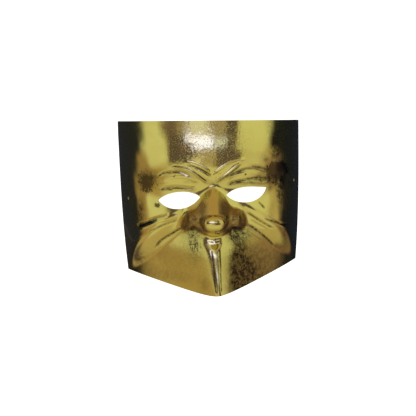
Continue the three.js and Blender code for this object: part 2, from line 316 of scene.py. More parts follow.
FOLDS = (
    Fold("frown, right arm", 1.35, 1.15, ((0, 30), (17, 39.6), (33.3, 43.8))),
    Fold("frown, inner", 0.48, 0.78, ((1.5, 26.2), (6.6, 29), (12.3, 32.1))),
    Fold("brow line, right", 1.3, 1.1, ((1.8, 21), (14.1, 29.6), (29, 41.2))),
    Fold("cut under right brow line", -0.72, 0.78, ((3.7, 20.6), (11.5, 26), (19, 31)), 0.8),
    Fold("brow groove, right", -1.02, 1.3, ((16, 29.5), (30, 33.8), (42, 33.4), (56, 27.4)), 0.5),
    Fold("brow pad, right", 0.66, 1.56, ((13, 25), (22.6, 28.6), (34, 29.6), (48, 27))),
    Fold("lid groove, right", -0.9, 1.04, ((13, 19.5), (25, 23), (40, 23.6), (56, 21)), 0.6),
    Fold("lid ridge, right", 0.66, 0.98, ((15, 17.4), (23, 20.2), (38, 21.4), (54, 19))),
    Fold("frown, left arm", 1.35, 1.2, ((-25, 42.4), (-14, 39), (-5, 34.2), (0, 30))),
    Fold("cut under left frown", -0.72, 0.78, ((-17, 37.6), (-8, 33.2), (0, 27.6)), 0.8),
    Fold("brow line, left", 1.3, 1.1, ((-37, 37.7), (-22, 35), (-13, 29.3), (-3, 20.5))),
    Fold("brow groove, left", -0.96, 1.37, ((-52, 29), (-41, 33.2), (-29, 33.4), (-17, 28)), 0.4),
    Fold("brow pad, left", 0.66, 1.56, ((-50, 24.5), (-36, 28), (-23, 27.6), (-11, 22.5))),
    Fold("lid groove, left", -0.78, 1.04, ((-51, 17.4), (-40, 18.6), (-28, 18.4), (-14, 16)), 0.5),
    Fold("lid ridge, left", 0.54, 0.98, ((-51, 20.5), (-40, 21.8), (-27, 21.4), (-12, 19))),
    Fold("cheek cord", 1.14, 1.3, ((-29.6, -7.7), (-42, -11), (-53, -15.2), (-72, -23))),
    Fold("groove over cheek cord", -0.9, 1.3, ((-40, -7), (-54, -11.4), (-74, -19.6)), 0.7),
    Fold("groove under cheek cord", -0.78, 1.04, ((-31, -12), (-47, -17.6), (-62, -24.5)), 0.6),
    Fold("smile line, left", -0.96, 1.04, ((-26.5, -19), (-42, -28), (-50, -33.5), (-56, -41)), 1.0),
    Fold("cheek groove, right", -0.84, 1.04, ((31, -5.5), (45.5, -16.5), (60, -25.5)), 0.85),
    Fold("smile line, right", -1.02, 1.04, ((33, -18), (47.2, -29.6), (61, -43.5)), 1.0),
    Fold("outer cheek, right", -0.78, 1.17, ((48, -13), (61.6, -19), (75, -23.6)), 0.95),
    Fold("lip crease", 0.3, 0.78, ((-8.6, -31.8), (0.7, -33.5), (10.6, -31.4))),
)

# Fine strokes: shallow lines drawn dark with painted shade, small pits, and the rib on the keel.
FINE_FOLDS = (
    Fold("line over left brow line", -0.3, 0.8, ((-38, 38.6), (-24, 36.8), (-14, 31), (-4, 22.6)), 0.75),
    Fold("line under right brow line", -0.3, 0.8, ((3, 21.6), (15.5, 29.2), (29.5, 38.8)), 0.75),
    Fold("line at right brow's end", -0.3, 1.1, ((37.3, 36), (46.6, 34.6), (56, 31)), 0.85, 3.0),
    Fold("line at right lid's end", -0.3, 0.9, ((32, 24.3), (43.5, 25.4), (54.5, 23.8)), 1.0, 3.0),
    Fold(
        "line under left frown arm", -0.3, 0.7, ((-24, 40), (-13, 36.6), (-4, 31.4), (0.4, 27.4)), 0.9, 3.0
    ),
    Fold("line on left lid", -0.3, 0.9, ((-50.5, 15.9), (-42, 16.6), (-36, 16)), 1.0, 2.5),
    Fold("line at left brow's end", -0.3, 1.2, ((-50.7, 28.3), (-45.3, 31.6), (-36, 33.6)), 0.75, 3.0),
    Fold("line over cheek cord", -0.3, 1.1, ((-72, -21), (-62, -15.6), (-52, -11.8)), 1.0, 3.0),
    Fold("pit, outer left brow", -0.7, 0.8, ((-36.2, 28.4), (-34.8, 29.3), (-33.4, 30)), 1.0, 1.0),
    Fold("pit, inner left brow", -0.5, 0.7, ((-22.6, 27.8), (-21.8, 28.2), (-20.6, 28)), 0.7, 1.0),
    Fold("pit, left lid", -0.6, 0.8, ((-53, 21.7), (-51.8, 21.6), (-50.4, 21.4)), 0.9, 1.0),
    Fold("pit, right brow", -0.7, 0.8, ((31.2, 29.6), (32.2, 29), (33.4, 28.2)), 1.0, 1.0),
    Fold("nick, right eye", -0.6, 0.7, ((43.7, 2.5), (47, -0.6), (50.6, -5.1)), 0.7, 2.0),
    Fold("faint line, right cheek", -0.45, 0.9, ((35, -14.4), (45, -20.5), (53.4, -25.5)), 0.2),
    Fold("faint line by the nose", -0.45, 0.9, ((28.6, -0.7), (34, -6), (39, -10.9)), 0.1),
    Fold("septum", 0.5, 0.7, ((1.1, -28.6), (0.9, -31), (0.7, -33.1)), 0.0, 1.0),
    Fold("keel line, left", -0.25, 0.8, ((-2.8, -39.4), (-1.2, -52), (0.8, -78.7)), 0.8, 2.0),
    Fold("keel line, right", -0.25, 0.8, ((5.0, -39.6), (5.4, -58), (5.6, -78.8)), 0.8, 2.0),
    Fold("rib low on the keel", 1.3, 4.5, ((2.6, -48), (3.4, -78), (3.6, -112)), 0.0, 30.0),
    Fold("scratch on the prow", 0.12, 0.5, ((33.3, -62.8), (34, -67), (34.5, -71.5)), 0.0, 2.0),
)


@dataclass(frozen=True)
class FaceForm:
    """The moulded surface, as a height over the plane of the rims at each place of the face.

    Its keel, lip, left nose wing and some folds were set anew after the solid was made, so they
    differ a little from the solid's.
    """

    trim: Trim = Trim()
    middle: Profile = Profile((
        (-95, 97.5), (-82, 95.5), (-60, 91.5), (-42, 88.5), (-32, 85.5), (-18, 79), (0, 75),
        (20, 74.5), (38, 79.5), (60, 79.5), (82, 75.5), (95, 73),
    ))
    fullness: float = 0.96
    keel_rounding: float = 0.085
    prow_from: float = 6.0
    prow_run: float = 30.0
    prow_beside: float = 28.0
    prow_falls: float = 0.75
    prow_blend: float = 6.0
    prow_share: float = 0.8
    lean_eyes: float = 0.6
    lean_chin: float = 3.0
    lean_from: float = -20.0
    lean_run: float = 60.0
    lean_power: float = 1.5
    past_rim: float = 1.03
    lip_height: float = 82.3
    lip_crease: float = -33.0
    lip_slope: float = 0.78
    lip_fades: Pair = (-12.0, -2.0)
    lipless_rise: float = 60.0
    lip_blend: float = 3.0
    bridge_root: float = 19.0
    bridge_height: float = 73.5
    bridge_slope: float = 1.0
    bridge_flanks: Pair = (1.32, 1.5)
    bridge_round: float = 4.5
    bridge_top: float = 101.5
    bridge_blend: float = 3.0
    nose_middle: float = 0.8
    wings: tuple[Patch, ...] = (
        Patch((-21.8, -10.5), 5.7, 8.5, 6.5),
        Patch((25, -11), 6, 8.5, 11),
    )
    nose_end: Profile = Profile((
        (-30, -16), (-26.5, -19.9), (-22, -19.3), (-17.5, -18.8), (-11.7, -24), (-4.4, -28.3),
        (1.1, -29.4), (7.7, -28.2), (14.4, -23.9), (18.2, -20.4), (25.8, -19.6), (31, -16),
    ))
    end_height: float = 77.0
    end_slope: float = 3.4
    end_blend: float = 1.4
    button: Dome = Dome((0.6, -14), 10.5, 7.6, 107, 7)
    button_blend: float = 1.4
    foot_blend: float = 2.6
    hollow_patches: tuple[Patch, ...] = (
        Patch((-31, 8), 25, 13, 2.4),
        Patch((33.5, 11), 25, 13, 2.4),
        Patch((-14, 15), 8, 7, 1.8),
        Patch((15, 15.5), 8, 7, 1.8),
        Patch((-70, 26), 11, 13, 2.2),
        Patch((70, 30), 11, 13, 2.2),
    )
    fade_height: float = 12.0
    moulded_folds: tuple[Fold, ...] = FOLDS
    fine_folds: tuple[Fold, ...] = FINE_FOLDS
    coarsest_half: float = 2.1
    shade_width: float = 0.8

    def vault(self, t: Array) -> Array:
        """Rounded cross-section of forehead and cheeks, 1 in the middle and 0 at the rims."""
        rim = math.sqrt(1.0 - self.fullness**2)
        return (np.sqrt(np.maximum(0.0, 1.0 - (self.fullness * t) ** 2)) - rim) / (1.0 - rim)

    def prow(self, t: Array) -> Array:
        """Keeled cross-section of mouth and chin, 1 in the middle and 0 at the rims."""
        rim = math.hypot(1.0, self.keel_rounding)
        return (rim - np.hypot(t, self.keel_rounding)) / (rim - self.keel_rounding)

    def large(self, x: Array, y: Array) -> Array:
        """Height of the large form: the vault above, the prow below and the lip between them.

        Args:
            x: Places across the face.
            y: Places up the face.

        Returns:
            The height over the plane of the rims.
        """
        level = self.trim.level(x, y)
        width = self.trim.half_width(level)
        down = np.maximum(0.0, (self.lean_from - level) / self.lean_run)
        lean = self.lean_eyes + self.lean_chin * down**self.lean_power
        t = np.minimum(self.past_rim, np.abs(x - lean * (1.0 - (x / width) ** 2)) / width)
        beside = soft_max(np.zeros_like(x), np.abs(x) - self.prow_beside, self.prow_blend)
        start = self.prow_from - self.prow_falls * beside
        keeled = self.prow_share * ease(0.0, 1.0, (start - level) / self.prow_run)
        section = self.vault(t) * (1.0 - keeled) + self.prow(t) * keeled
        shell = self.middle.at(level) * section
        rise = soft_max(np.zeros_like(x), self.lip_crease - level, self.lip_blend)
        facet = self.lip_height + self.lip_slope * rise
        lipless = self.lipless_rise * ease(self.lip_fades[0], self.lip_fades[1], level)
        return soft_min(shell, facet + lipless, self.lip_blend)

    def nose(self, x: Array, y: Array) -> Array:
        """Height of the nose: a rising wedge that swells to two wings, cut off steeply, and a button tip.

        Args:
            x: Places across the face.
            y: Places up the face.

        Returns:
            The height over the plane of the rims.
        """
        side = x - self.nose_middle
        away = np.hypot(side, self.bridge_round) - self.bridge_round
        flank = np.where(side < 0, *self.bridge_flanks) * away
        rise = self.bridge_height + self.bridge_slope * (self.bridge_root - y)
        high = soft_min(rise, np.full_like(rise, self.bridge_top), self.bridge_blend) - flank
        high = high + sum(wing.spread(x, y) for wing in self.wings)
        end = self.end_height + self.end_slope * (y - self.nose_end.at(x))
        high = soft_min(high, end, self.end_blend)
        return soft_max(high, self.button.height(x, y), self.button_blend)

    def plain(self, x: Array, y: Array) -> Array:
        """Height without hollows and folds."""
        return soft_max(self.large(x, y), self.nose(x, y), self.foot_blend)

    def outside(self, x: Array, y: Array, fine: bool = True) -> Array:
        """Height of the outside of the mask.

        Args:
            x: Places across the face.
            y: Places up the face.
            fine: With the fine strokes and the folds at their own width; without, as the solid has it.

        Returns:
            The height over the plane of the rims.
        """
        base = self.large(x, y)
        skin = base - sum(patch.spread(x, y) for patch in self.hollow_patches)
        strokes = self.moulded_folds + (self.fine_folds if fine else ())
        for fold in strokes:
            half = fold.half if fine else max(fold.half, self.coarsest_half)
            skin = skin + fold.height * fold.swell(x, y, half)
        fade = ease(0.0, self.fade_height, base)
        return soft_max(base + (skin - base) * fade, self.nose(x, y), self.foot_blend)

    def groove(self, x: Array, y: Array) -> Array:
        """How much painted shade each place takes along the shaded strokes, from 0 to 1.

        Args:
            x: Places across the face.
            y: Places up the face.

        Returns:
            The painted shade at each place.
        """
        deepest = np.zeros(x.shape)
        for fold in self.moulded_folds + self.fine_folds:
            if fold.shade > 0.0:
                felt = fold.swell(x, y, self.shade_width * fold.half)
                deepest = np.maximum(deepest, fold.shade * felt)
        return deepest

    def normals(self, x: Array, y: Array, probe: float = 0.6) -> Array:
        """Outward directions of the solid's own surface, by central differences.

        Args:
            x: Places across the face.
            y: Places up the face.
            probe: How far to each side the heights are read.

        Returns:
            One unit direction for each place.
        """
        across = (self.outside(x + probe, y, False) - self.outside(x - probe, y, False)) / (2 * probe)
        along = (self.outside(x, y + probe, False) - self.outside(x, y - probe, False)) / (2 * probe)
        n = np.stack([-across, -along, np.ones_like(across)], -1)
        return n / np.linalg.norm(n, axis=-1, keepdims=True)


@dataclass(frozen=True)
class Raster:
    """Heights read once on an even grid, for the many readings while the sheet is evened out."""

    form: FaceForm
    step: float = 0.4
    past_edge: Pair = (2.0, 5.0)

    def __post_init__(self) -> None:
        """Read the heights over the whole outline and a little past it."""
        reach_x = self.form.trim.rim + self.past_edge[0]
        reach_y = self.form.trim.top + self.past_edge[1]
        xs = np.arange(-reach_x, reach_x, self.step)
        ys = np.arange(-reach_y, reach_y, self.step)
        grid_x, grid_y = np.meshgrid(xs, ys, indexing="ij")
        object.__setattr__(self, "low", (xs[0], ys[0]))
        object.__setattr__(self, "heights", self.form.plain(grid_x, grid_y))

    def at(self, plan: Array) -> Array:
        """Height at each plan point, between the four nearest readings.

        Args:
            plan: Places on the face.

        Returns:
            The height at each place.
        """
        u = (plan[:, 0] - self.low[0]) / self.step
        v = (plan[:, 1] - self.low[1]) / self.step
        i, j = u.astype(int), v.astype(int)
        fu, fv = u - i, v - j
        h = self.heights
        near = h[i, j] * (1 - fu) + h[i + 1, j] * fu
        far = h[i, j + 1] * (1 - fu) + h[i + 1, j + 1] * fu
        return near * (1 - fv) + far * fv


@dataclass(frozen=True)
class Hole:
    """A hole through the sheet, with the room kept round it and the rings of faces in that room."""

    outline: Array
    margin: float
    rings: int

    def facing(self, points: Array) -> Array:
        """Points of the hole's edge in the same bearing, from its middle, as the given points.

        Args:
            points: Points round the hole.

        Returns:
            A point of the hole's edge for each.
        """
        middle = self.outline.mean(0)
        size = np.ptp(self.outline, axis=0)
        own, wanted = ((p - middle) / size for p in (self.outline, points))
        bearing = np.arctan2(own[:, 1], own[:, 0])
        asked = np.arctan2(wanted[:, 1], wanted[:, 0])
        order = np.argsort(bearing)
        bearing, outline = bearing[order], self.outline[order]
        columns = [np.interp(asked, bearing, outline[:, k], period=2 * math.pi) for k in (0, 1)]
        return np.stack(columns, -1)


@dataclass
class Sheet:
    """The outside as quads over plan points, the coarser faces of its lining, and its open edges."""

    plan: Array
    cut: Array
    quads: Array
    lining: list[list[int]]
    open_edges: Array

    def relax(self, raster: Raster, rounds: int = 260, step: float = 0.6) -> None:
        """Even out the faces over the real surface, so that steep places get as many as flat ones.

        Args:
            raster: Heights of the plain form.
            rounds: How many times each free point moves towards its neighbours.
            step: Share of the way that it goes each time.
        """
        pairs = np.vstack([self.quads[:, [k, (k + 1) % 4]] for k in range(4)])
        pairs = np.unique(np.sort(pairs, axis=1), axis=0)
        a, b = pairs.T
        count = len(self.plan)
        free = self.cut == Cut.FREE
        for _ in range(rounds):
            height = raster.at(self.plan)
            flat = np.linalg.norm(self.plan[a] - self.plan[b], axis=1) + 1e-6
            pull = np.hypot(flat, height[a] - height[b]) / flat
            total = np.bincount(a, pull, count) + np.bincount(b, pull, count)
            for k in (0, 1):
                place = self.plan[:, k]
                drawn = np.bincount(a, pull * place[b], count) + np.bincount(b, pull * place[a], count)
                moved = place + step * (drawn / total - place)
                self.plan[:, k] = np.where(free, moved, place)


@dataclass(frozen=True)
class SheetMaker:
    """Lays out the sheet's points: columns and rows over the outline, and rings round its holes."""

    form: FaceForm
    holes: tuple[Hole, ...]
    columns: int = 336
    rows: int = 216
    closer: float = 0.8
    close_across: float = 0.62
    close_from: float = 0.12
    close_to: float = 0.84
    close_run: float = 0.15
    arch_height: float = 80.0
    readings: int = 2001
    level_rounds: int = 10

    def grid(self) -> Array:
        """Plan points by column and row, with columns an even way apart along the arched section.

        Returns:
            The points, first by column and then by row.
        """
        trim = self.form.trim
        t = np.linspace(-1.0, 1.0, self.readings)
        arch = 0.5 * (self.form.vault(np.abs(t)) + self.form.prow(np.abs(t)))
        closeness = 1.0 + self.closer * (1.0 - ease(0.5, 1.0, np.abs(t[1:]) / self.close_across))
        climbed = np.diff(arch) * self.arch_height / trim.rim
        way = np.r_[0.0, np.cumsum(closeness * np.hypot(np.diff(t), climbed))]
        u = np.interp(np.linspace(0.0, way[-1], self.columns + 1), way, t)[:, None]
        s = np.linspace(0.0, 1.0, self.readings)
        rising = ease(self.close_from, self.close_from + self.close_run, s)
        near = rising * (1.0 - ease(self.close_to - self.close_run, self.close_to, s))
        climb = np.cumsum(1.0 + self.closer * near)
        share = np.interp(np.linspace(climb[0], climb[-1], self.rows + 1), climb, s)[None, :]
        x = u * trim.rim + 0.0 * share
        for _ in range(self.level_rounds):
            low, high = (trim.level(x, edge(x)) for edge in (trim.chin_edge, trim.top_edge))
            level = low + (high - low) * share
            x = u * trim.half_width(level)
        return np.stack([x, level + trim.face_tilt * x], -1)

    def block(self, grid: Array, hole: Hole) -> tuple[int, int, int, int]:
        """First and last column and row, all even, of the cells that a hole and its room take.

        Args:
            grid: Plan points by column and row.
            hole: The hole.

        Returns:
            First and last column, then first and last row.
        """
        low, high = hole.outline.min(0) - hole.margin, hole.outline.max(0) + hole.margin
        inside = np.all((grid > low) & (grid < high), axis=-1)
        columns, rows = (np.nonzero(inside.any(axis=k))[0] for k in (1, 0))
        first = (columns[0] // 2 * 2, rows[0] // 2 * 2)
        last = (-(-columns[-1] // 2) * 2, -(-rows[-1] // 2) * 2)
        return first[0], last[0], first[1], last[1]

    @staticmethod
    def around(block: tuple[int, int, int, int]) -> Array:
        """Columns and rows of the nodes round a block, once round with the block on the left.

        Args:
            block: First and last column, then first and last row.

        Returns:
            A column and a row for each node.
        """
        c0, c1, r0, r1 = block
        walk = [(c, r0) for c in range(c0, c1)] + [(c1, r) for r in range(r0, r1)]
        walk += [(c, r1) for c in range(c1, c0, -1)] + [(c0, r) for r in range(r1, r0, -1)]
        return np.array(walk)

    def lay_out(self) -> Sheet:
        """Make the sheet.

        Returns:
            The sheet with its points still as laid out, not yet evened out.
        """
        grid = self.grid()
        blocks = [self.block(grid, hole) for hole in self.holes]
        cells = np.ones((self.columns, self.rows), bool)
        nodes = np.ones((self.columns + 1, self.rows + 1), bool)
        for c0, c1, r0, r1 in blocks:
            cells[c0:c1, r0:r1] = False
            nodes[c0 + 1 : c1, r0 + 1 : r1] = False
        ids = np.full(nodes.shape, -1)
        ids[nodes] = np.arange(nodes.sum())
        cut = np.full(nodes.shape, int(Cut.FREE))
        cut[:, [0, -1]] = Cut.TRIM
        cut[[0, -1], :] = Cut.RIM
        plan, kinds = [grid[nodes]], [cut[nodes]]
        c, r = np.nonzero(cells)
        quads = [np.stack([ids[c, r], ids[c + 1, r], ids[c + 1, r + 1], ids[c, r + 1]], -1)]
        lining = self.line_grid(ids, cells)
        border = ids[tuple(self.around((0, self.columns, 0, self.rows)).T)]
        open_edges = [np.stack([border, np.roll(border, -1)], -1)]
        count = len(plan[0])
        for hole, block in zip(self.holes, blocks):
            walk = self.around(block)
            outer = grid[tuple(walk.T)]
            facing = hole.facing(outer)
            rings = [ids[tuple(walk.T)]]
            for ring in range(1, hole.rings + 1):
                plan.append(outer + (facing - outer) * ring / hole.rings)
                kinds.append(np.full(len(walk), int(Cut.HOLE if ring == hole.rings else Cut.FREE)))
                rings.append(count + np.arange(len(walk)))
                count += len(walk)
                a, b = rings[-2], rings[-1]
                quads.append(np.stack([a, np.roll(a, -1), np.roll(b, -1), b], -1))
            lining += self.line_rings(rings)
            open_edges.append(np.stack([np.roll(rings[-1], -1), rings[-1]], -1))
        return Sheet(np.vstack(plan), np.concatenate(kinds), np.vstack(quads), lining, np.vstack(open_edges))

    def line_grid(self, ids: Array, cells: Array) -> list[list[int]]:
        """Faces of the lining over the grid, each over two by two cells, whole along open edges.

        Args:
            ids: Number of the point at each node.
            cells: Which cells have faces.

        Returns:
            The numbers of the points of each face.
        """
        faces = []
        for c, r in zip(*(2 * k for k in np.nonzero(cells[::2, ::2]))):
            face = [ids[c, r], ids[c + 2, r], ids[c + 2, r + 2], ids[c, r + 2]]
            if c == 0:
                face.append(ids[c, r + 1])
            if r + 2 == self.rows:
                face.insert(3, ids[c + 1, r + 2])
            if c + 2 == self.columns:
                face.insert(2, ids[c + 2, r + 1])
            if r == 0:
                face.insert(1, ids[c + 1, r])
            faces.append([int(k) for k in face])
        return faces

    @staticmethod
    def line_rings(rings: list[Array]) -> list[list[int]]:
        """Faces of the lining round a hole, each over two by two cells, whole along the hole.

        Args:
            rings: Numbers of the points of each ring, from the outermost.

        Returns:
            The numbers of the points of each face.
        """
        faces = []
        for k in range(0, len(rings) - 1, 2):
            a, b = rings[k], rings[k + 2]
            for i in range(0, len(a), 2):
                j = (i + 2) % len(a)
                face = [a[i], a[j], b[j], b[i]]
                if k + 2 == len(rings) - 1:
                    face.insert(3, b[i + 1])
                faces.append([int(n) for n in face])
        return faces


class NodeCanvas:
    """Short ways to put nodes into a tree and join them."""

    def __init__(self, tree: bpy.types.NodeTree) -> None:
        """Start with an empty tree."""
        self.tree = tree
        tree.nodes.clear()

    def feed(self, socket: bpy.types.NodeSocket, value: object) -> None:
        """Join a socket to another one, or give it a fixed value.

        Args:
            socket: The input to feed.
            value: A socket or a value.
        """
        if isinstance(value, bpy.types.NodeSocket):
            self.tree.links.new(value, socket)
        else:
            socket.default_value = value

    def add(self, kind: str, inputs: dict | None = None, **settings: object) -> bpy.types.Node:
        """Put a node into the tree.

        Args:
            kind: The node's type.
            inputs: Values or sockets for its inputs, by name or number.
            **settings: Values for its properties.

        Returns:
            The new node.
        """
        node = self.tree.nodes.new(kind)
        for name, value in settings.items():
            setattr(node, name, value)
        for key, value in (inputs or {}).items():
            self.feed(node.inputs[key], value)
        return node

    def math(self, operation: str, *values: object) -> bpy.types.NodeSocket:
        """Reckon with values or sockets, and give the result's socket."""
        inputs = dict(enumerate(values))
        return self.add("ShaderNodeMath", inputs, operation=operation).outputs[0]

    def mix(self, factor: object, a: object, b: object) -> bpy.types.NodeSocket:
        """Mix two colours, and give the result's socket.

        Args:
            factor: Share of the second colour.
            a: The first colour.
            b: The second colour.

        Returns:
            The socket of the mixed colour.
        """
        node = self.add("ShaderNodeMix", data_type="RGBA")
        self.feed(node.inputs["Factor"], factor)
        for socket, value in ((node.inputs[6], a), (node.inputs[7], b)):
            self.feed(socket, value)
        return node.outputs[2]

    def span(
        self, value: object, low: object, high: object, start: object, end: object
    ) -> bpy.types.NodeSocket:
        """Carry a value smoothly from one range to another, held at both ends."""
        inputs = {0: value, 1: low, 2: high, 3: start, 4: end}
        return self.add("ShaderNodeMapRange", inputs, interpolation_type="SMOOTHSTEP").outputs[0]


def rgba(colour: Colour) -> tuple[float, float, float, float]:
    """Colour with full alpha."""
    return colour + (1.0,)


def new_material(name: str) -> tuple[bpy.types.Material, NodeCanvas]:
    """Make a material whose node tree is still empty.

    Args:
        name: The material's name.

    Returns:
        The material and the canvas of its tree.
    """
    material = bpy.data.materials.new(name)
    material.use_nodes = True
    return material, NodeCanvas(material.node_tree)


@dataclass(frozen=True)
class FilmRelief:
    """The crinkles that the film took when it was drawn over the mould, as a node tree on the mesh."""

    crinkle_depth: float = 0.35
    crinkle_size: float = 2.2
    dent_depth: float = 0.16
    dent_size: float = 13.0
    sink: float = 0.02
    seed: int = 11

    def tree(self) -> bpy.types.NodeTree:
        """Build the tree, with a named input for each size.

        Returns:
            The node tree, which ends in Realize Instances and Set Material.
        """
        tree = bpy.data.node_groups.new("film_relief", "GeometryNodeTree")
        canvas = NodeCanvas(tree)
        tree.interface.new_socket(name="Geometry", in_out="INPUT", socket_type="NodeSocketGeometry")
        for name in ("Crinkle Depth", "Crinkle Size", "Dent Depth", "Dent Size", "Sink"):
            tree.interface.new_socket(name=name, in_out="INPUT", socket_type="NodeSocketFloat")
        tree.interface.new_socket(name="Seed", in_out="INPUT", socket_type="NodeSocketInt")
        for side in Side:
            tree.interface.new_socket(name=side.name, in_out="INPUT", socket_type="NodeSocketMaterial")
        tree.interface.new_socket(name="Geometry", in_out="OUTPUT", socket_type="NodeSocketGeometry")
        given = canvas.add("NodeGroupInput").outputs
        position = canvas.add("GeometryNodeInputPosition").outputs[0]
        weight = self.read(canvas, Attribute.CRINKLE, "FLOAT")
        away = self.read(canvas, Attribute.AWAY, "FLOAT_VECTOR")
        crinkle = self.waves(canvas, position, given["Crinkle Size"], given["Seed"], 2.0)
        dent = self.waves(canvas, position, given["Dent Size"], given["Seed"], 1.0)
        fine = canvas.math("MULTIPLY", canvas.math("MULTIPLY", crinkle, weight), given["Crinkle Depth"])
        broad = canvas.math("MULTIPLY", dent, given["Dent Depth"])
        inward = canvas.math("ADD", canvas.math("ADD", fine, broad), given["Sink"])
        inward = canvas.math("MULTIPLY", inward, -MM)
        offset = canvas.add("ShaderNodeVectorMath", {0: away}, operation="SCALE")
        canvas.feed(offset.inputs["Scale"], inward)
        shift = {"Geometry": given["Geometry"], "Offset": offset.outputs[0]}
        moved = canvas.add("GeometryNodeSetPosition", shift)
        shape = canvas.add("GeometryNodeRealizeInstances", {"Geometry": moved.outputs[0]}).outputs[0]
        part = self.read(canvas, Attribute.SIDE, "INT")
        for side in Side:
            chosen = canvas.add("FunctionNodeCompare", data_type="INT", operation="EQUAL")
            canvas.feed(chosen.inputs[2], part)
            chosen.inputs[3].default_value = int(side)
            painted = canvas.add("GeometryNodeSetMaterial", {"Geometry": shape})
            canvas.feed(painted.inputs["Selection"], chosen.outputs[0])
            canvas.feed(painted.inputs["Material"], given[side.name])
            shape = painted.outputs[0]
        canvas.add("NodeGroupOutput", {"Geometry": shape})
        return tree

    @staticmethod
    def read(canvas: NodeCanvas, name: Attribute, kind: str) -> bpy.types.NodeSocket:
        """Read one of the mesh's named attributes."""
        node = canvas.add("GeometryNodeInputNamedAttribute", {"Name": name.value}, data_type=kind)
        return node.outputs["Attribute"]

    @staticmethod
    def waves(
        canvas: NodeCanvas, position: object, size: object, seed: object, detail: float
    ) -> bpy.types.NodeSocket:
        """Random waves from 0 to 1, about one size in millimetres from crest to crest.

        Args:
            canvas: Where the nodes go.
            position: The places that the waves are read at.
            size: Way from crest to crest.
            seed: Seed of the waves.
            detail: How many finer waves ride on them.

        Returns:
            The socket of the waves.
        """
        scale = canvas.math("DIVIDE", 1.0 / MM, size)
        inputs = {"Vector": position, "W": seed, "Scale": scale, "Detail": detail, "Roughness": 0.5}
        noise = canvas.add("ShaderNodeTexNoise", inputs, noise_dimensions="4D")
        return noise.outputs[0]

    def bake(self, piece: bpy.types.Object, finishes: dict[Side, bpy.types.Material]) -> None:
        """Run the tree on a piece and leave it a plain mesh.

        Args:
            piece: The object whose mesh carries the attributes that the tree reads.
            finishes: The material of each side of the sheet.
        """
        tree = self.tree()
        sizes = {
            "Crinkle Depth": self.crinkle_depth,
            "Crinkle Size": self.crinkle_size,
            "Dent Depth": self.dent_depth,
            "Dent Size": self.dent_size,
            "Sink": self.sink,
            "Seed": self.seed,
        }
        sizes.update({side.name: material for side, material in finishes.items()})
        modifier = piece.modifiers.new("film_relief", "NODES")
        modifier.node_group = tree
        for item in tree.interface.items_tree:
            if item.in_out == "INPUT" and item.name in sizes:
                modifier[item.identifier] = sizes[item.name]
        graph = bpy.context.evaluated_depsgraph_get()
        baked = bpy.data.meshes.new_from_object(piece.evaluated_get(graph))
        piece.modifiers.clear()
        piece.data = baked
        baked.name = piece.name


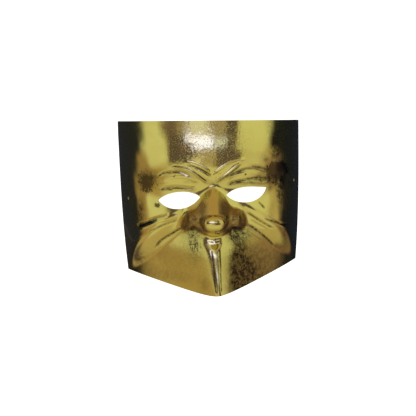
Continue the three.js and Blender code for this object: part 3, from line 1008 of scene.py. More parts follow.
class ShaderGroups:
    """Effects that more than one finish uses, each built once."""

    def __init__(self) -> None:
        """Build the groups."""
        self.peel = self.build_peel()
        self.cloud = self.build_cloud()
        self.flecks = self.build_flecks()

    @staticmethod
    def start(
        name: str, inputs: dict[str, str], outputs: dict[str, str]
    ) -> tuple[NodeCanvas, object, object]:
        """Start a group with named sockets, and give its canvas, inputs and output node.

        Args:
            name: The group's name.
            inputs: Kind of each input, by name.
            outputs: Kind of each output, by name.

        Returns:
            The canvas, the inputs' sockets and the output node.
        """
        tree = bpy.data.node_groups.new(name, "ShaderNodeTree")
        canvas = NodeCanvas(tree)
        for label, kind in inputs.items():
            tree.interface.new_socket(name=label, in_out="INPUT", socket_type=kind)
        for label, kind in outputs.items():
            tree.interface.new_socket(name=label, in_out="OUTPUT", socket_type=kind)
        return canvas, canvas.add("NodeGroupInput").outputs, canvas.add("NodeGroupOutput")

    def build_peel(self) -> bpy.types.NodeTree:
        """Fine orange peel and short hair creases, as a height.

        Returns:
            The group.
        """
        floats = {name: "NodeSocketFloat" for name in ("Peel Size", "Crease Size", "Crease Share")}
        canvas, given, result = self.start(
            "orange_peel", {"Vector": "NodeSocketVector", **floats}, {"Height": "NodeSocketFloat"}
        )
        peel_scale = canvas.math("DIVIDE", 1.0 / MM, given["Peel Size"])
        crease_scale = canvas.math("DIVIDE", 1.0 / MM, given["Crease Size"])
        peel = canvas.add(
            "ShaderNodeTexNoise", {"Vector": given["Vector"], "Scale": peel_scale, "Detail": 2.0}
        ).outputs[0]
        crease = canvas.add(
            "ShaderNodeTexNoise",
            {"Vector": given["Vector"], "Scale": crease_scale, "Detail": 3.0, "Distortion": 1.6},
        ).outputs[0]
        ridge = canvas.math("ABSOLUTE", canvas.math("SUBTRACT", crease, 0.5))
        ridge = canvas.math("MULTIPLY", ridge, given["Crease Share"])
        canvas.feed(result.inputs["Height"], canvas.math("ADD", peel, ridge))
        return canvas.tree

    def build_cloud(self) -> bpy.types.NodeTree:
        """Broad uneven clouds from 0 to 1, for tone and gloss.

        Returns:
            The group.
        """
        sockets = {"Vector": "NodeSocketVector", "Size": "NodeSocketFloat"}
        canvas, given, result = self.start("uneven_cloud", sockets, {"Cloud": "NodeSocketFloat"})
        scale = canvas.math("DIVIDE", 1.0 / MM, given["Size"])
        noise = canvas.add("ShaderNodeTexNoise", {"Vector": given["Vector"], "Scale": scale, "Detail": 3.0})
        canvas.feed(result.inputs["Cloud"], canvas.span(noise.outputs[0], 0.3, 0.7, 0.0, 1.0))
        return canvas.tree

    def build_flecks(self) -> bpy.types.NodeTree:
        """Short wriggling flecks of painted shade, that close up to a blotch where their cover is full.

        Returns:
            The group.
        """
        floats = {name: "NodeSocketFloat" for name in ("Size", "Cover")}
        canvas, given, result = self.start(
            "dark_flecks", {"Vector": "NodeSocketVector", **floats}, {"Dark": "NodeSocketFloat"}
        )
        scale = canvas.math("DIVIDE", 1.0 / MM, given["Size"])
        stretch = {0: given["Vector"], 1: (1.5, 0.7, 0.9)}
        drawn = canvas.add("ShaderNodeVectorMath", stretch, operation="MULTIPLY")
        inputs = {"Vector": drawn.outputs[0], "Scale": scale, "Detail": 4.0}
        inputs.update({"Roughness": 0.6, "Distortion": 0.9})
        noise = canvas.add("ShaderNodeTexNoise", inputs).outputs[0]
        level = canvas.math("SUBTRACT", canvas.math("ADD", noise, given["Cover"]), 1.0)
        canvas.feed(result.inputs["Dark"], canvas.span(level, -0.04, 0.06, 0.0, 1.0))
        return canvas.tree

    @staticmethod
    def place(canvas: NodeCanvas, tree: bpy.types.NodeTree, **inputs: object) -> bpy.types.NodeSocket:
        """Place a group in a material, and give its first output.

        Args:
            canvas: The material's canvas.
            tree: The group.
            **inputs: Values or sockets for its inputs, with _ for a blank.

        Returns:
            The socket of its first output.
        """
        node = canvas.add("ShaderNodeGroup", node_tree=tree)
        for name, value in inputs.items():
            canvas.feed(node.inputs[name.replace("_", " ")], value)
        return node.outputs[0]


@dataclass(frozen=True)
class Peel:
    """Orange peel and hair creases of one finish, with sizes and depth in millimetres."""

    size: float
    crease_size: float
    crease_share: float
    depth: float

    def height(self, canvas: NodeCanvas, groups: ShaderGroups, place: object) -> bpy.types.NodeSocket:
        """Place the peel in a material.

        Args:
            canvas: The material's canvas.
            groups: The shared effects.
            place: The places that it is read at.

        Returns:
            The socket of its height.
        """
        sizes = {"Peel_Size": self.size, "Crease_Size": self.crease_size}
        return groups.place(canvas, groups.peel, Vector=place, Crease_Share=self.crease_share, **sizes)

    def normal(self, canvas: NodeCanvas, height: object) -> bpy.types.NodeSocket:
        """Turn a height into the bent normal of the surface."""
        relief = {"Height": height, "Strength": 1.0, "Distance": self.depth * MM}
        return canvas.add("ShaderNodeBump", relief).outputs[0]


@dataclass(frozen=True)
class GoldFilm:
    """Glossy metallised gold film, crinkled, with painted shade along its grooves, in patches and in flecks,
    and browned in places.
    """

    tone: Colour = (0.66, 0.53, 0.14)
    warm_tone: Colour = (0.63, 0.49, 0.12)
    # Brown of the brown tone over the nose and of the painted brown shade.
    brown_tone: Colour = (0.25, 0.145, 0.035)
    # Near black of the painted shade in grooves, patches and flecks.
    shade_tone: Colour = (0.045, 0.028, 0.01)
    gloss: Pair = (0.09, 0.15)
    brown_gloss: float = 0.34
    fleck_size: float = 1.9
    fleck_share: float = 0.88
    grain: float = 0.4
    grain_from: Pair = (0.62, 0.8)
    cloud_size: float = 22.0
    speck_size: float = 1.1
    streak_size: float = 4.0
    mottle_span: Pair = (0.3, 0.7)
    brown_span: Pair = (0.8, 1.2)
    dark_span: Pair = (0.62, 1.2)
    peel: Peel = Peel(2.0, 4.0, 1.2, 0.075)
    coat: float = 0.12
    coat_gloss: float = 0.05

    def material(self, groups: ShaderGroups) -> bpy.types.Material:
        """Make the film's material.

        Args:
            groups: The shared effects.

        Returns:
            The material for the outside of the mask.
        """
        material, canvas = new_material("gold_film")
        place = canvas.add("ShaderNodeTexCoord").outputs["Object"]
        carried = (Attribute.CRINKLE, Attribute.GROOVE_SHADE, Attribute.BROWN_TONE_AND_SHADE, Attribute.FLECK_SHADE)
        crinkle, groove, brown_tone_and_shade, fleck_shade = (
            canvas.add("ShaderNodeAttribute", attribute_name=name.value).outputs["Fac"] for name in carried
        )
        cloud = groups.place(canvas, groups.cloud, Vector=place, Size=self.cloud_size)
        speck = groups.place(canvas, groups.cloud, Vector=place, Size=self.speck_size)
        tone = canvas.mix(cloud, rgba(self.tone), rgba(self.warm_tone))
        streak = groups.place(canvas, groups.cloud, Vector=place, Size=self.streak_size)
        mottle = canvas.math("MULTIPLY", canvas.math("ADD", speck, streak), 0.5)
        # Brown tone over the nose, and painted brown shade in the brow valleys and low on the cheeks.
        browned_and_shaded = canvas.math("MULTIPLY", brown_tone_and_shade, canvas.span(mottle, *self.mottle_span, *self.brown_span))
        browned_and_shaded = canvas.math("MINIMUM", browned_and_shaded, 1.0)
        tone = canvas.mix(browned_and_shaded, tone, rgba(self.brown_tone))
        # Flecks of painted shade, where the film is marked for them.
        flecks = groups.place(canvas, groups.flecks, Vector=place, Size=self.fleck_size, Cover=fleck_shade)
        flecks = canvas.math("MULTIPLY", flecks, self.fleck_share)
        # Painted shade along the grooves and in the shaded patches, with the flecks of painted shade.
        painted_dark = canvas.math("MULTIPLY", groove, canvas.span(mottle, *self.mottle_span, *self.dark_span))
        painted_dark = canvas.math("MINIMUM", canvas.math("MAXIMUM", painted_dark, flecks), 1.0)
        tone = canvas.mix(painted_dark, tone, rgba(self.shade_tone))
        rough = canvas.span(cloud, 0.0, 1.0, self.gloss[0], self.gloss[1])
        satin = canvas.math("MULTIPLY", browned_and_shaded, canvas.math("SUBTRACT", self.brown_gloss, rough))
        rough = canvas.math("ADD", rough, satin)
        grain = canvas.math("MULTIPLY", crinkle, canvas.span(speck, *self.grain_from, 0.0, self.grain))
        rough = canvas.math("ADD", rough, grain)
        height = canvas.math("MULTIPLY", self.peel.height(canvas, groups, place), crinkle)
        bent = self.peel.normal(canvas, height)
        shader = canvas.add("ShaderNodeBsdfPrincipled", {"Base Color": tone, "Roughness": rough})
        shader.inputs["Metallic"].default_value = 1.0
        shader.inputs["Coat Weight"].default_value = self.coat
        shader.inputs["Coat Roughness"].default_value = self.coat_gloss
        canvas.feed(shader.inputs["Normal"], bent)
        canvas.add("ShaderNodeOutputMaterial", {"Surface": shader.outputs[0]})
        return material


@dataclass(frozen=True)
class LiningGold:
    """The bare inside of the moulded sheet: a duller, satin gold plastic."""

    tone: Colour = (0.40, 0.31, 0.09)
    dark_tone: Colour = (0.30, 0.22, 0.06)
    gloss: Pair = (0.38, 0.52)
    cloud_size: float = 30.0
    peel: Peel = Peel(0.9, 9.0, 0.5, 0.03)
    metal: float = 0.55

    def material(self, groups: ShaderGroups) -> bpy.types.Material:
        """Make the lining's material.

        Args:
            groups: The shared effects.

        Returns:
            The material for the inside of the mask.
        """
        material, canvas = new_material("lining_gold")
        place = canvas.add("ShaderNodeTexCoord").outputs["Object"]
        cloud = groups.place(canvas, groups.cloud, Vector=place, Size=self.cloud_size)
        tone = canvas.mix(cloud, rgba(self.tone), rgba(self.dark_tone))
        rough = canvas.span(cloud, 0.0, 1.0, self.gloss[0], self.gloss[1])
        bent = self.peel.normal(canvas, self.peel.height(canvas, groups, place))
        shader = canvas.add("ShaderNodeBsdfPrincipled", {"Base Color": tone, "Roughness": rough})
        shader.inputs["Metallic"].default_value = self.metal
        canvas.feed(shader.inputs["Normal"], bent)
        canvas.add("ShaderNodeOutputMaterial", {"Surface": shader.outputs[0]})
        return material


@dataclass(frozen=True)
class CutEdge:
    """The sheet's cut edge, where the knife left it matt with fine drag lines."""

    tone: Colour = (0.42, 0.28, 0.08)
    pale_tone: Colour = (0.58, 0.44, 0.16)
    cloud_size: float = 2.0
    peel: Peel = Peel(0.5, 2.0, 1.0, 0.05)
    gloss: float = 0.45
    metal: float = 0.4

    def material(self, groups: ShaderGroups) -> bpy.types.Material:
        """Make the cut edge's material.

        Args:
            groups: The shared effects.

        Returns:
            The material for the edges of the sheet.
        """
        material, canvas = new_material("cut_edge")
        place = canvas.add("ShaderNodeTexCoord").outputs["Object"]
        cloud = groups.place(canvas, groups.cloud, Vector=place, Size=self.cloud_size)
        bent = self.peel.normal(canvas, self.peel.height(canvas, groups, place))
        tone = canvas.mix(cloud, rgba(self.tone), rgba(self.pale_tone))
        shader = canvas.add("ShaderNodeBsdfPrincipled", {"Base Color": tone})
        shader.inputs["Roughness"].default_value = self.gloss
        shader.inputs["Metallic"].default_value = self.metal
        canvas.feed(shader.inputs["Normal"], bent)
        canvas.add("ShaderNodeOutputMaterial", {"Surface": shader.outputs[0]})
        return material


@dataclass(frozen=True)
class MaskShell:
    """The whole mask: outside, lining and cut edges of one moulded sheet.

    The patches of painted shade darken the film where the photo is darker than the painted room makes it.
    """

    form: FaceForm = FaceForm()
    wall: float = 1.2
    eyes: tuple[EyeHole, ...] = (
        EyeHole((-51.4, 6), ((-45.1, 13.2), (-22.4, 18.3)), (-11.2, 9.2), ((-23.7, -7), (-44.3, -3.6))),
        EyeHole((53, 15.3), ((41.4, 16.6), (23.8, 20)), (13.6, 10.3), ((22.9, -1.4), (48.2, -0.2))),
    )
    eye_margin: float = 8.5
    eye_rings: int = 10
    ties: tuple[Pair, ...] = ((-80.9, 6.5), (82.3, 19.6))
    tie_radius: float = 1.3
    tie_margin: float = 2.0
    tie_rings: int = 4
    crinkled: tuple[Patch, ...] = (
        Patch((-2, 62), 36, 30, 0.75),
        Patch((-20, -48), 16, 20, 0.45),
        Patch((26, -48), 18, 24, 0.55),
        Patch((-52, 1), 4, 3.5, 0.5),
    )
    crinkle_everywhere: float = 0.05
    # Painted brown shade low on the cheeks.
    browned_and_shaded: tuple[Patch, ...] = (
        Patch((-44, -52), 30, 22, 0.3),
        Patch((50, -56), 26, 20, 0.35),
    )
    # Painted brown shade along the valleys of the brows.
    shaded_valleys: tuple[Fold, ...] = (
        Fold(
            "valley under the frown", 0, 2.6, ((-23, 31.6), (-9, 26), (0, 21.6), (10, 25), (22, 29.6)), 0.6
        ),
        Fold("left brow", 0, 2.2, ((-50, 29), (-41, 32.6), (-29, 32.6), (-20, 29)), 0.5),
        Fold("left lid", 0, 1.8, ((-46, 17), (-34, 17.6), (-22, 16.8), (-12, 15)), 0.55),
        Fold("left brow pad", 0, 1.8, ((-29, 22.6), (-20, 23.8), (-12, 20)), 0.45),
        Fold("right lid", 0, 2.4, ((12.5, 17.4), (20, 21.6), (32, 24.6), (48, 25)), 0.6),
        Fold("right brow", 0, 1.9, ((14, 26), (25, 31.4), (38, 35), (52, 31.4)), 0.55),
    )
    valley_strength: float = 0.55
    # Brown tone over the nose, kept off its tip.
    nose_brown: Pair = (0.14, 1.0)
    nose_flank_from: Pair = (3.0, 10.0)
    nose_left_rise: float = 2.5
    nose_left_from: Pair = (-6.0, -16.0)
    nose_fade: Pair = (17.0, 1.0)
    nose_edge: Pair = (0.2, 3.0)
    # Share of the nose tip kept clear of the brown.
    button_clear: Patch = Patch((0.6, -14), 9.5, 6, 1.3)
    # Where flecks of painted shade lie on the film.
    fleck_shaded: tuple[Patch, ...] = (
        Patch((-62, 23), 12, 16, 0.74),
        Patch((64, 31), 15, 12, 0.95),
        Patch((-18, -36), 11, 14, 0.57),
        Patch((24, -34), 14, 14, 0.57),
        Patch((-52, 1), 4, 3.2, 0.7),
    )
    # Patches of painted shade, where the film's reflections are dark.
    shade_patches: tuple[Patch, ...] = (
        Patch((22.5, -62), 8, 26, 1.1),
        Patch((33, -66), 9, 16, 0.5),
        Patch((24.5, -25.8), 11, 4.2, 0.75),
        Patch((-19, -25.5), 8.5, 5, 0.75),
        Patch((59, 24), 10, 4.4, 1.1),
        Patch((66.5, 11), 4.4, 15, 1.1),
        Patch((63, 21), 6, 5, 0.8),
        Patch((62.5, 49), 5, 9, 1.1),
        Patch((57.5, 76), 4.5, 22, 0.35),
        Patch((71, -32), 4, 11, 0.45),
        Patch((18.5, -27), 5, 6, 0.8),
        Patch((24, -20.8), 7, 2.0, 0.65),
        Patch((-20.5, -21), 6, 1.8, 0.5),
        Patch((-18, -40), 9, 14, 0.35),
        Patch((26, -38), 9, 9, 0.3),
        Patch((37, 20.8), 14, 2.2, 0.6),
        Patch((-55, 26.5), 6, 7, 0.55),
        Patch((-46, -67), 26, 6, 0.25),
        Patch((-10, -73), 6, 9, 0.25),
        Patch((-62, 26), 8, 9, 0.5),
        Patch((38, -58), 25, 22, 0.4),
        Patch((46, -72), 26, 8, 0.3),
        Patch((-68.5, -6), 3.8, 13, 0.85),
        Patch((-73, -51), 6, 10, 0.7),
    )
    relief: FilmRelief = FilmRelief()

    def holes(self) -> tuple[Hole, ...]:
        """The eye holes and the tie holes, with the room round each.

        Returns:
            The holes, eyes first.
        """
        eyes = [Hole(eye.outline(), self.eye_margin, self.eye_rings) for eye in self.eyes]
        turn = np.linspace(0.0, 2 * math.pi, 360, endpoint=False)
        ties = []
        for x, y in self.ties:
            lean = self.form.normals(np.array([x]), np.array([y]))[0, 2]
            across = x + self.tie_radius * lean * np.cos(turn)
            ring = np.stack([across, y + self.tie_radius * np.sin(turn)], -1)
            ties.append(Hole(ring, self.tie_margin, self.tie_rings))
        return tuple(eyes + ties)

    def inward(self, plan: Array, cut: Array) -> Array:
        """Way from the outside to the inside of the wall at each point.

        Args:
            plan: Places of the points on the face.
            cut: How each point lies to the outline.

        Returns:
            Steps of the wall's thickness, which on a trimmed edge stay in the face of the cut.
        """
        x, y = plan.T
        normal = self.form.normals(x, y)
        way = normal.copy()
        trim, probe = self.form.trim, 0.6
        both = (trim.top_edge, trim.chin_edge)
        edges = [(edge(x + probe) - edge(x - probe)) / (2 * probe) for edge in both]
        slope = np.where(y > 0, *edges)
        flat = np.zeros_like(slope)
        rim = np.stack([np.ones_like(slope), slope, flat], -1)
        across = np.stack([-slope, np.ones_like(slope), flat], -1)
        across /= np.linalg.norm(across, axis=1, keepdims=True)
        trimmed = normal - across * (normal * across).sum(1, keepdims=True)
        way = np.where((cut == Cut.RIM)[:, None], rim, way)
        way = np.where((cut == Cut.TRIM)[:, None], trimmed, way)
        return -self.wall * way / (way * normal).sum(1, keepdims=True)

    def brown_tone_and_shade(self, x: Array, y: Array) -> Array:
        """Brown at each place: a brown tone over the nose but its tip, and painted brown shade on low cheeks
        and brow valleys.

        Args:
            x: Places across the face.
            y: Places up the face.

        Returns:
            The share of brown, from 0 to 1.
        """
        over = self.form.nose(x, y) - self.form.large(x, y)
        over = over - self.nose_left_rise * ease(*self.nose_left_from, x)
        flank = ease(*self.nose_flank_from, np.abs(x - self.form.nose_middle))
        low, high = self.nose_brown
        nose = ease(*self.nose_edge, over) * (low + (high - low) * flank)
        nose = nose * np.clip(1.0 - self.button_clear.spread(x, y), 0.0, 1.0) * ease(*self.nose_fade, y)
        low_cheeks = sum(patch.spread(x, y) for patch in self.browned_and_shaded)
        valleys = sum(fold.shade * fold.swell(x, y, fold.half) for fold in self.shaded_valleys)
        return np.clip(nose + low_cheeks + self.valley_strength * valleys, 0.0, 1.0)

    @staticmethod
    def facing_out(points: Array, quads: Array) -> Array:
        """Outward direction at each point, from the faces round it.

        Args:
            points: The points of the outside.
            quads: Numbers of the four points of each face.

        Returns:
            One unit direction for each point.
        """
        a, b, c, d = (points[quads[:, k]] for k in range(4))
        face = np.cross(c - a, d - b)
        total = np.zeros_like(points)
        for k in range(4):
            for axis in range(3):
                total[:, axis] += np.bincount(quads[:, k], face[:, axis], len(points))
        return total / np.maximum(np.linalg.norm(total, axis=1, keepdims=True), 1e-12)

    def mesh(self, box: tuple[Vector, Vector]) -> bpy.types.Mesh:
        """Build the closed mesh of the shell.

        Args:
            box: Lowest and highest corner of the solid, in metres, which the mesh keeps within.

        Returns:
            The mesh, with what the modifier and the finishes read stored on it.
        """
        sheet = SheetMaker(self.form, self.holes()).lay_out()
        sheet.relax(Raster(self.form))
        x, y = sheet.plan.T
        height = np.where(sheet.cut == Cut.RIM, 0.0, self.form.outside(x, y))
        top = np.stack([x, y, height], -1)
        lined = np.unique(np.concatenate([*map(np.array, sheet.lining), sheet.open_edges.ravel()]))
        under = np.full(len(top), -1)
        under[lined] = len(top) + np.arange(len(lined))
        plan, cut = sheet.plan[lined], sheet.cut[lined]
        base = np.where(cut == Cut.RIM, 0.0, self.form.outside(plan[:, 0], plan[:, 1], False))
        bottom = np.column_stack([plan, base]) + self.inward(plan, cut)
        a, b = sheet.open_edges.T
        strip = np.stack([b, a, under[a], under[b]], -1)
        faces = sheet.quads.tolist()
        faces += [[int(under[n]) for n in reversed(face)] for face in sheet.lining]
        faces += strip.tolist()
        sides = np.repeat([int(side) for side in Side], [len(sheet.quads), len(sheet.lining), len(strip)])
        points = np.clip(np.vstack([top, bottom]) * MM, np.array(box[0]), np.array(box[1]))
        mesh = bpy.data.meshes.new("mask_shell_film")
        mesh.from_pydata(points.tolist(), [], faces)
        self.store(mesh, Attribute.SIDE, "INT", "FACE", sides)
        facing = self.facing_out(top, sheet.quads) * (sheet.cut != Cut.RIM)[:, None]
        away = np.vstack([facing, np.zeros((len(bottom), 3))])
        self.store(mesh, Attribute.AWAY, "FLOAT_VECTOR", "POINT", away)
        weight = self.crinkle_everywhere + sum(patch.spread(x, y) for patch in self.crinkled)
        rest = np.zeros(len(bottom))
        self.store(mesh, Attribute.CRINKLE, "FLOAT", "POINT", np.r_[np.minimum(weight, 1.0), rest])
        # Painted shade of the grooves and of the shaded patches.
        patch_shade = sum(patch.spread(x, y) for patch in self.shade_patches)
        dark = np.minimum(self.form.groove(x, y) + patch_shade, 1.0)
        self.store(mesh, Attribute.GROOVE_SHADE, "FLOAT", "POINT", np.r_[dark, rest])
        # Brown tone over the nose and painted brown shade.
        self.store(mesh, Attribute.BROWN_TONE_AND_SHADE, "FLOAT", "POINT", np.r_[self.brown_tone_and_shade(x, y), rest])
        # Where flecks of painted shade lie.
        fleck_shade = sum(patch.spread(x, y) for patch in self.fleck_shaded)
        self.store(mesh, Attribute.FLECK_SHADE, "FLOAT", "POINT", np.r_[np.minimum(fleck_shade, 1.0), rest])
        mesh.shade_smooth()
        self.sharpen(mesh, np.vstack([sheet.open_edges, under[sheet.open_edges]]))
        return mesh

    @staticmethod
    def store(mesh: bpy.types.Mesh, name: Attribute, kind: str, domain: str, values: Array) -> None:
        """Store values on the mesh under a name.

        Args:
            mesh: The mesh.
            name: Name to store them under.
            kind: Type of the values.
            domain: What has one value each: points or faces.
            values: The values, in order.
        """
        attribute = mesh.attributes.new(name.value, kind, domain)
        key = "vector" if kind == "FLOAT_VECTOR" else "value"
        dtype = np.int32 if kind == "INT" else np.float32
        attribute.data.foreach_set(key, np.ascontiguousarray(values, dtype).ravel())

    @staticmethod
    def sharpen(mesh: bpy.types.Mesh, pairs: Array) -> None:
        """Mark the edges between the given pairs of points as sharp.

        Args:
            mesh: The mesh.
            pairs: Numbers of the two points of each edge.
        """
        ends = np.zeros(2 * len(mesh.edges), np.int32)
        mesh.edges.foreach_get("vertices", ends)
        count = len(mesh.vertices)
        key, wanted = (np.sort(p.reshape(-1, 2), axis=1) @ np.array([count, 1]) for p in (ends, pairs))
        sharp = mesh.attributes.get("sharp_edge") or mesh.attributes.new("sharp_edge", "BOOLEAN", "EDGE")
        sharp.data.foreach_set("value", np.isin(key, wanted))

    def build(self, groups: ShaderGroups) -> bpy.types.Object:
        """Make the dressed shell and put it in the place of the solid.

        Args:
            groups: The shared effects of the finishes.

        Returns:
            The finished object.
        """
        piece = bpy.data.objects.new("mask_shell_film", self.mesh(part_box("mask_shell")))
        bpy.context.scene.collection.objects.link(piece)
        finishes = {
            Side.OUTSIDE: GoldFilm().material(groups),
            Side.INSIDE: LiningGold().material(groups),
            Side.CUT_EDGE: CutEdge().material(groups),
        }
        self.relief.bake(piece, finishes)
        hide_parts("mask_shell")
        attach(piece, "root")
        return piece


@dataclass(frozen=True)
class Panel:
    """A soft-edged window of the studio round the mask, in degrees across and up from the camera."""

    name: str
    window: tuple[float, float, float, float]
    soft: float
    colour: Colour


@dataclass(frozen=True)
class PhotoCamera:
    """The camera, which looks down on the mask as it lies.

    Its frame and focal length are in pixels of the picture, and its sensor is in millimetres.
    """

    target: tuple[float, float, float] = (-3.55, -3.5, 45.0)
    distance: float = 1150.0
    pitch: float = 4.3
    yaw: float = 1.2
    roll: float = -1.6
    sensor: float = 36.0
    frame: float = 416.0
    focal: float = 1197.9

    def axes(self) -> tuple[Vector, Vector, Vector]:
        """Directions to the right, up and back from the picture.

        Returns:
            The three directions, each a unit long.
        """
        pitch, yaw, roll = (math.radians(a) for a in (self.pitch, self.yaw, self.roll))
        level = math.cos(pitch)
        back = Vector((-math.sin(yaw) * level, math.sin(pitch), math.cos(yaw) * level)).normalized()
        right = Vector((0.0, 1.0, 0.0)).cross(back).normalized()
        up = back.cross(right)
        turned = right * math.cos(roll) + up * math.sin(roll)
        return turned, up * math.cos(roll) - right * math.sin(roll), back

    def build(self) -> bpy.types.Object:
        """Make the camera and set it as the scene's own.

        Returns:
            The camera.
        """
        data = bpy.data.cameras.new("photo_camera")
        data.sensor_width = self.sensor
        data.lens = self.sensor * self.focal / self.frame
        camera = bpy.data.objects.new("photo_camera", data)
        right, up, back = self.axes()
        turn = Matrix((right, up, back)).transposed().to_4x4()
        place = (Vector(self.target) + back * self.distance) * MM
        camera.matrix_world = Matrix.Translation(place) @ turn
        bpy.context.scene.collection.objects.link(camera)
        bpy.context.scene.camera = camera
        return camera


@dataclass(frozen=True)
class Studio:
    """The room round the mask: a key softbox, pale screens at both sides and dark gaps between.

    The list of panels, the radius and the room's colour began as the result of a least-squares fit
    to the film's colours in the photo. Since then much of the list was changed or added, and it
    was rounded to plain steps.
    """

    backdrop: Colour = (1.0, 1.0, 1.0)
    fill: Colour = (0.62, 0.60, 0.56)
    radius: float = 505.0
    middle: tuple[float, float, float] = (0.0, 0.0, 45.0)
    room: Colour = (0.61, 0.57, 0.53)
    panels: tuple[Panel, ...] = (
        Panel("pale table under the chin", (-200, 200, -200, -65), 12, (0.65, 0.6, 0.45)),
        Panel("dark floor at the sides, left", (-200, -70, -200, -65), 8, (0.25, 0.2, 0.2)),
        Panel("floor beside the mask, left", (-200, -60, -65, -30), 8, (0.6, 0.5, 0.4)),
        Panel("dark floor at the sides, right", (75, 200, -200, -30), 12, (0.25, 0.2, 0.15)),
        Panel("warm wall over the forehead", (-200, 200, 60, 200), 10, (0.6, 0.45, 0.3)),
        Panel("pale wall behind the camera", (-60, 60, -65, -8), 8, (0.8, 0.85, 0.75)),
        Panel("wall, high left", (-200, -85, 45, 120), 8, (0.3, 0.2, 0.15)),
        Panel("wall, high right", (75, 200, 45, 130), 8, (0.35, 0.25, 0.2)),
        Panel("wall, low left", (-200, -65, -40, -10), 6, (0.65, 0.55, 0.4)),
        Panel("wall beside the chin, left", (-90, -65, -30, -7), 5, (0.55, 0.45, 0.3)),
        Panel("wall, low right", (85, 200, -60, -5), 6, (0.3, 0.2, 0.2)),
        Panel("black flag, left", (-200, -90, -10, 60), 5, (0.025, 0.03, 0.06)),
        Panel("black flag, right", (80, 200, -5, 60), 5, (0.015, 0.02, 0.045)),
        Panel("gold glow of the low right", (87, 112, -27, 4), 5, (0.45, 0.35, 0.3)),
        Panel("screen, left", (-97, -60, -7, 50), 5, (0.85, 0.95, 0.9)),
        Panel("black flag, high left", (-200, -90, 14, 60), 5, (0.025, 0.03, 0.06)),
        Panel("screen, right", (38, 87, 3, 50), 5, (0.85, 0.95, 0.85)),
        Panel("low end of the right screen", (80, 103, 1, 10), 4, (0.65, 0.6, 0.45)),
        Panel("screen, right, low", (38, 75, -15, 3), 5, (0.75, 0.8, 0.7)),
        Panel("dark gap round the camera", (-58, 36, -7, 22), 2.5, (0.13, 0.11, 0.16)),
        Panel("dark gap, low right", (6, 46, -20, 5), 3, (0.15, 0.12, 0.18)),
        Panel("dark gap, high left", (-66, -40, 20, 34), 4, (0.2, 0.15, 0.2)),
        Panel("dark gap, right", (20, 36, 16, 34), 3, (0.13, 0.11, 0.16)),
        Panel("wall under the key", (-22, 9, -14, 6), 4, (0.5, 0.45, 0.4)),
        Panel("strip light under the key", (-31, -12, -11, -3), 2.5, (0.95, 1.0, 1.2)),
        Panel("ceiling over the key", (-42, 20, 21, 34), 4, (0.45, 0.4, 0.4)),
        Panel("second light beside the key", (6, 22, 8, 18), 4, (1.0, 1.2, 2.4)),
        Panel("key softbox", (-33, 4, 7, 21), 3, (1.7, 2.0, 6.4)),
        Panel("notch under the key, left", (-44, -24, 3, 12), 2.5, (0.2, 0.15, 0.2)),
        Panel("glow over the key", (-26, -4, 22, 36), 4, (0.95, 1.05, 1.35)),
        Panel("dark under the rim, left", (-200, -99, -82, -20), 5, (0.03, 0.03, 0.05)),
        Panel("black behind the left rim", (-200, -105, -24, 60), 5, (0.025, 0.03, 0.06)),
        Panel("warm end of the left screen", (-106, -90, -22, 6), 4, (0.45, 0.35, 0.25)),
        Panel("dark under the rim, right", (108, 200, -82, 60), 5, (0.015, 0.02, 0.045)),
    )

    def build(self, camera: PhotoCamera) -> None:
        """Make the room and the soft light outside it.

        Args:
            camera: The camera from which the panels' angles are told.
        """
        world = bpy.data.worlds.new("studio")
        world.use_nodes = True
        world.cycles_visibility.glossy = False
        bpy.context.scene.world = world
        canvas = NodeCanvas(world.node_tree)
        fill = canvas.add("ShaderNodeBackground", {"Color": rgba(self.fill)})
        plain = canvas.add("ShaderNodeBackground", {"Color": rgba(self.backdrop)})
        seen = canvas.add("ShaderNodeLightPath").outputs["Is Camera Ray"]
        both = canvas.add("ShaderNodeMixShader", {0: seen, 1: fill.outputs[0], 2: plain.outputs[0]})
        canvas.add("ShaderNodeOutputWorld", {"Surface": both.outputs[0]})
        bpy.context.scene.view_settings.view_transform = "Standard"
        self.room_walls(camera)

    def room_walls(self, camera: PhotoCamera) -> bpy.types.Object:
        """Make the round room that only the gloss of the mask sees.

        Args:
            camera: The camera from which the panels' angles are told.

        Returns:
            The room, a part of the stage.
        """
        shape = bmesh.new()
        bmesh.ops.create_icosphere(shape, subdivisions=5, radius=self.radius * MM)
        bmesh.ops.translate(shape, verts=shape.verts, vec=Vector(self.middle) * MM)
        mesh = bpy.data.meshes.new("studio_room")
        shape.to_mesh(mesh)
        shape.free()
        walls = bpy.data.objects.new("studio_room", mesh)
        bpy.context.scene.collection.objects.link(walls)
        mesh.materials.append(self.wall_paint(camera))
        for ray in ("camera", "diffuse", "transmission", "volume_scatter", "shadow"):
            setattr(walls, f"visible_{ray}", False)
        return walls

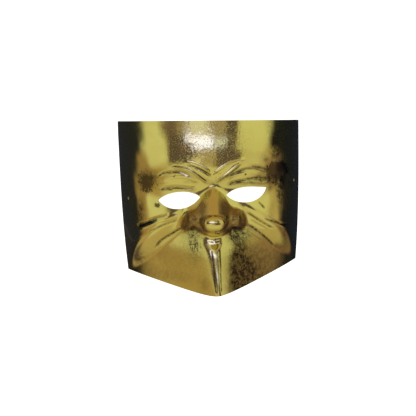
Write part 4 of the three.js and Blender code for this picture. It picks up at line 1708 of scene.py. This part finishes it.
    def wall_paint(self, camera: PhotoCamera) -> bpy.types.Material:
        """Make the room's own light, painted by direction from its middle.

        Args:
            camera: The camera from which the panels' angles are told.

        Returns:
            The material of the room.
        """
        material, canvas = new_material("studio_panels")
        material.cycles.emission_sampling = "NONE"
        place = canvas.add("ShaderNodeTexCoord").outputs["Object"]
        middle = tuple(Vector(self.middle) * MM)
        offset = canvas.add("ShaderNodeVectorMath", {0: place, 1: middle}, operation="SUBTRACT")
        facing = canvas.add("ShaderNodeVectorMath", {0: offset.outputs[0]}, operation="NORMALIZE").outputs[0]
        right, up, back = (self.along(canvas, facing, axis) for axis in camera.axes())
        angle = canvas.math("DEGREES", canvas.math("ARCCOSINE", back))
        square = canvas.math("ADD", canvas.math("POWER", right, 2.0), canvas.math("POWER", up, 2.0))
        spread = canvas.math("DIVIDE", angle, canvas.math("ADD", canvas.math("SQRT", square), 1e-5))
        across, upward = canvas.math("MULTIPLY", spread, right), canvas.math("MULTIPLY", spread, up)
        window = self.window_group()
        light = rgba(self.room)
        for panel in self.panels:
            left, far, low, high = panel.window
            node = canvas.add("ShaderNodeGroup", node_tree=window)
            sizes = {"Across": across, "Up": upward, "Left": left, "Right": far, "Bottom": low, "Top": high}
            for name, value in {**sizes, "Soft": panel.soft}.items():
                canvas.feed(node.inputs[name], float(value) if isinstance(value, int) else value)
            light = canvas.mix(node.outputs[0], light, rgba(panel.colour))
        glow = canvas.add("ShaderNodeEmission", {"Color": light})
        canvas.add("ShaderNodeOutputMaterial", {"Surface": glow.outputs[0]})
        return material

    @staticmethod
    def along(canvas: NodeCanvas, facing: object, axis: Vector) -> bpy.types.NodeSocket:
        """Share of a direction that goes along an axis."""
        node = canvas.add("ShaderNodeVectorMath", {0: facing, 1: tuple(axis)}, operation="DOT_PRODUCT")
        return node.outputs["Value"]

    @staticmethod
    def window_group() -> bpy.types.NodeTree:
        """Group that tells how far a direction lies inside a soft-edged window.

        Returns:
            The group.
        """
        names = ("Across", "Up", "Left", "Right", "Bottom", "Top", "Soft")
        sockets = {name: "NodeSocketFloat" for name in names}
        canvas, given, result = ShaderGroups.start("soft_window", sockets, {"Inside": "NodeSocketFloat"})
        shares = []
        for value, low, high in (("Across", "Left", "Right"), ("Up", "Bottom", "Top")):
            for edge, ends in ((low, (0.0, 1.0)), (high, (1.0, 0.0))):
                start = canvas.math("SUBTRACT", given[edge], given["Soft"])
                end = canvas.math("ADD", given[edge], given["Soft"])
                shares.append(canvas.span(given[value], start, end, *ends))
        inside = shares[0]
        for share in shares[1:]:
            inside = canvas.math("MULTIPLY", inside, share)
        canvas.feed(result.inputs["Inside"], inside)
        return canvas.tree


@dataclass(frozen=True)
class Table:
    """The plain pale table that the mask lies on, faintly lit from below."""

    half: float = 6000.0
    drop: float = 0.05
    tone: Colour = (0.86, 0.86, 0.85)
    glow: float = 1.1
    matt: float = 0.8

    def build(self) -> bpy.types.Object:
        """Make the table top as a part of the stage.

        Returns:
            The table.
        """
        h, z = self.half * MM, -self.drop * MM
        mesh = bpy.data.meshes.new("table")
        mesh.from_pydata([(-h, -h, z), (h, -h, z), (h, h, z), (-h, h, z)], [], [(0, 1, 2, 3)])
        table = bpy.data.objects.new("table", mesh)
        bpy.context.scene.collection.objects.link(table)
        material, canvas = new_material("pale_table")
        shader = canvas.add("ShaderNodeBsdfPrincipled", {"Base Color": rgba(self.tone)})
        shader.inputs["Roughness"].default_value = self.matt
        shader.inputs["Emission Color"].default_value = rgba(self.tone)
        shader.inputs["Emission Strength"].default_value = self.glow
        canvas.add("ShaderNodeOutputMaterial", {"Surface": shader.outputs[0]})
        mesh.materials.append(material)
        table.visible_glossy = False
        return table


def report(piece: bpy.types.Object) -> None:
    """Log a piece's name, size in millimetres and number of triangles.

    Args:
        piece: The finished object.
    """
    piece.data.calc_loop_triangles()
    size = " x ".join(f"{d / MM:.1f}" for d in piece.dimensions)
    LOG.info("%s: %s mm, %d triangles", piece.name, size, len(piece.data.loop_triangles))


def main() -> None:
    """Build the mask, its table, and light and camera."""
    logging.basicConfig(level=logging.INFO, format="%(name)s: %(message)s")
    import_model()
    camera = PhotoCamera()
    camera.build()
    Studio().build(camera)
    report(Table().build())
    report(MaskShell().build(ShaderGroups()))


if __name__ == "__main__":
    main()
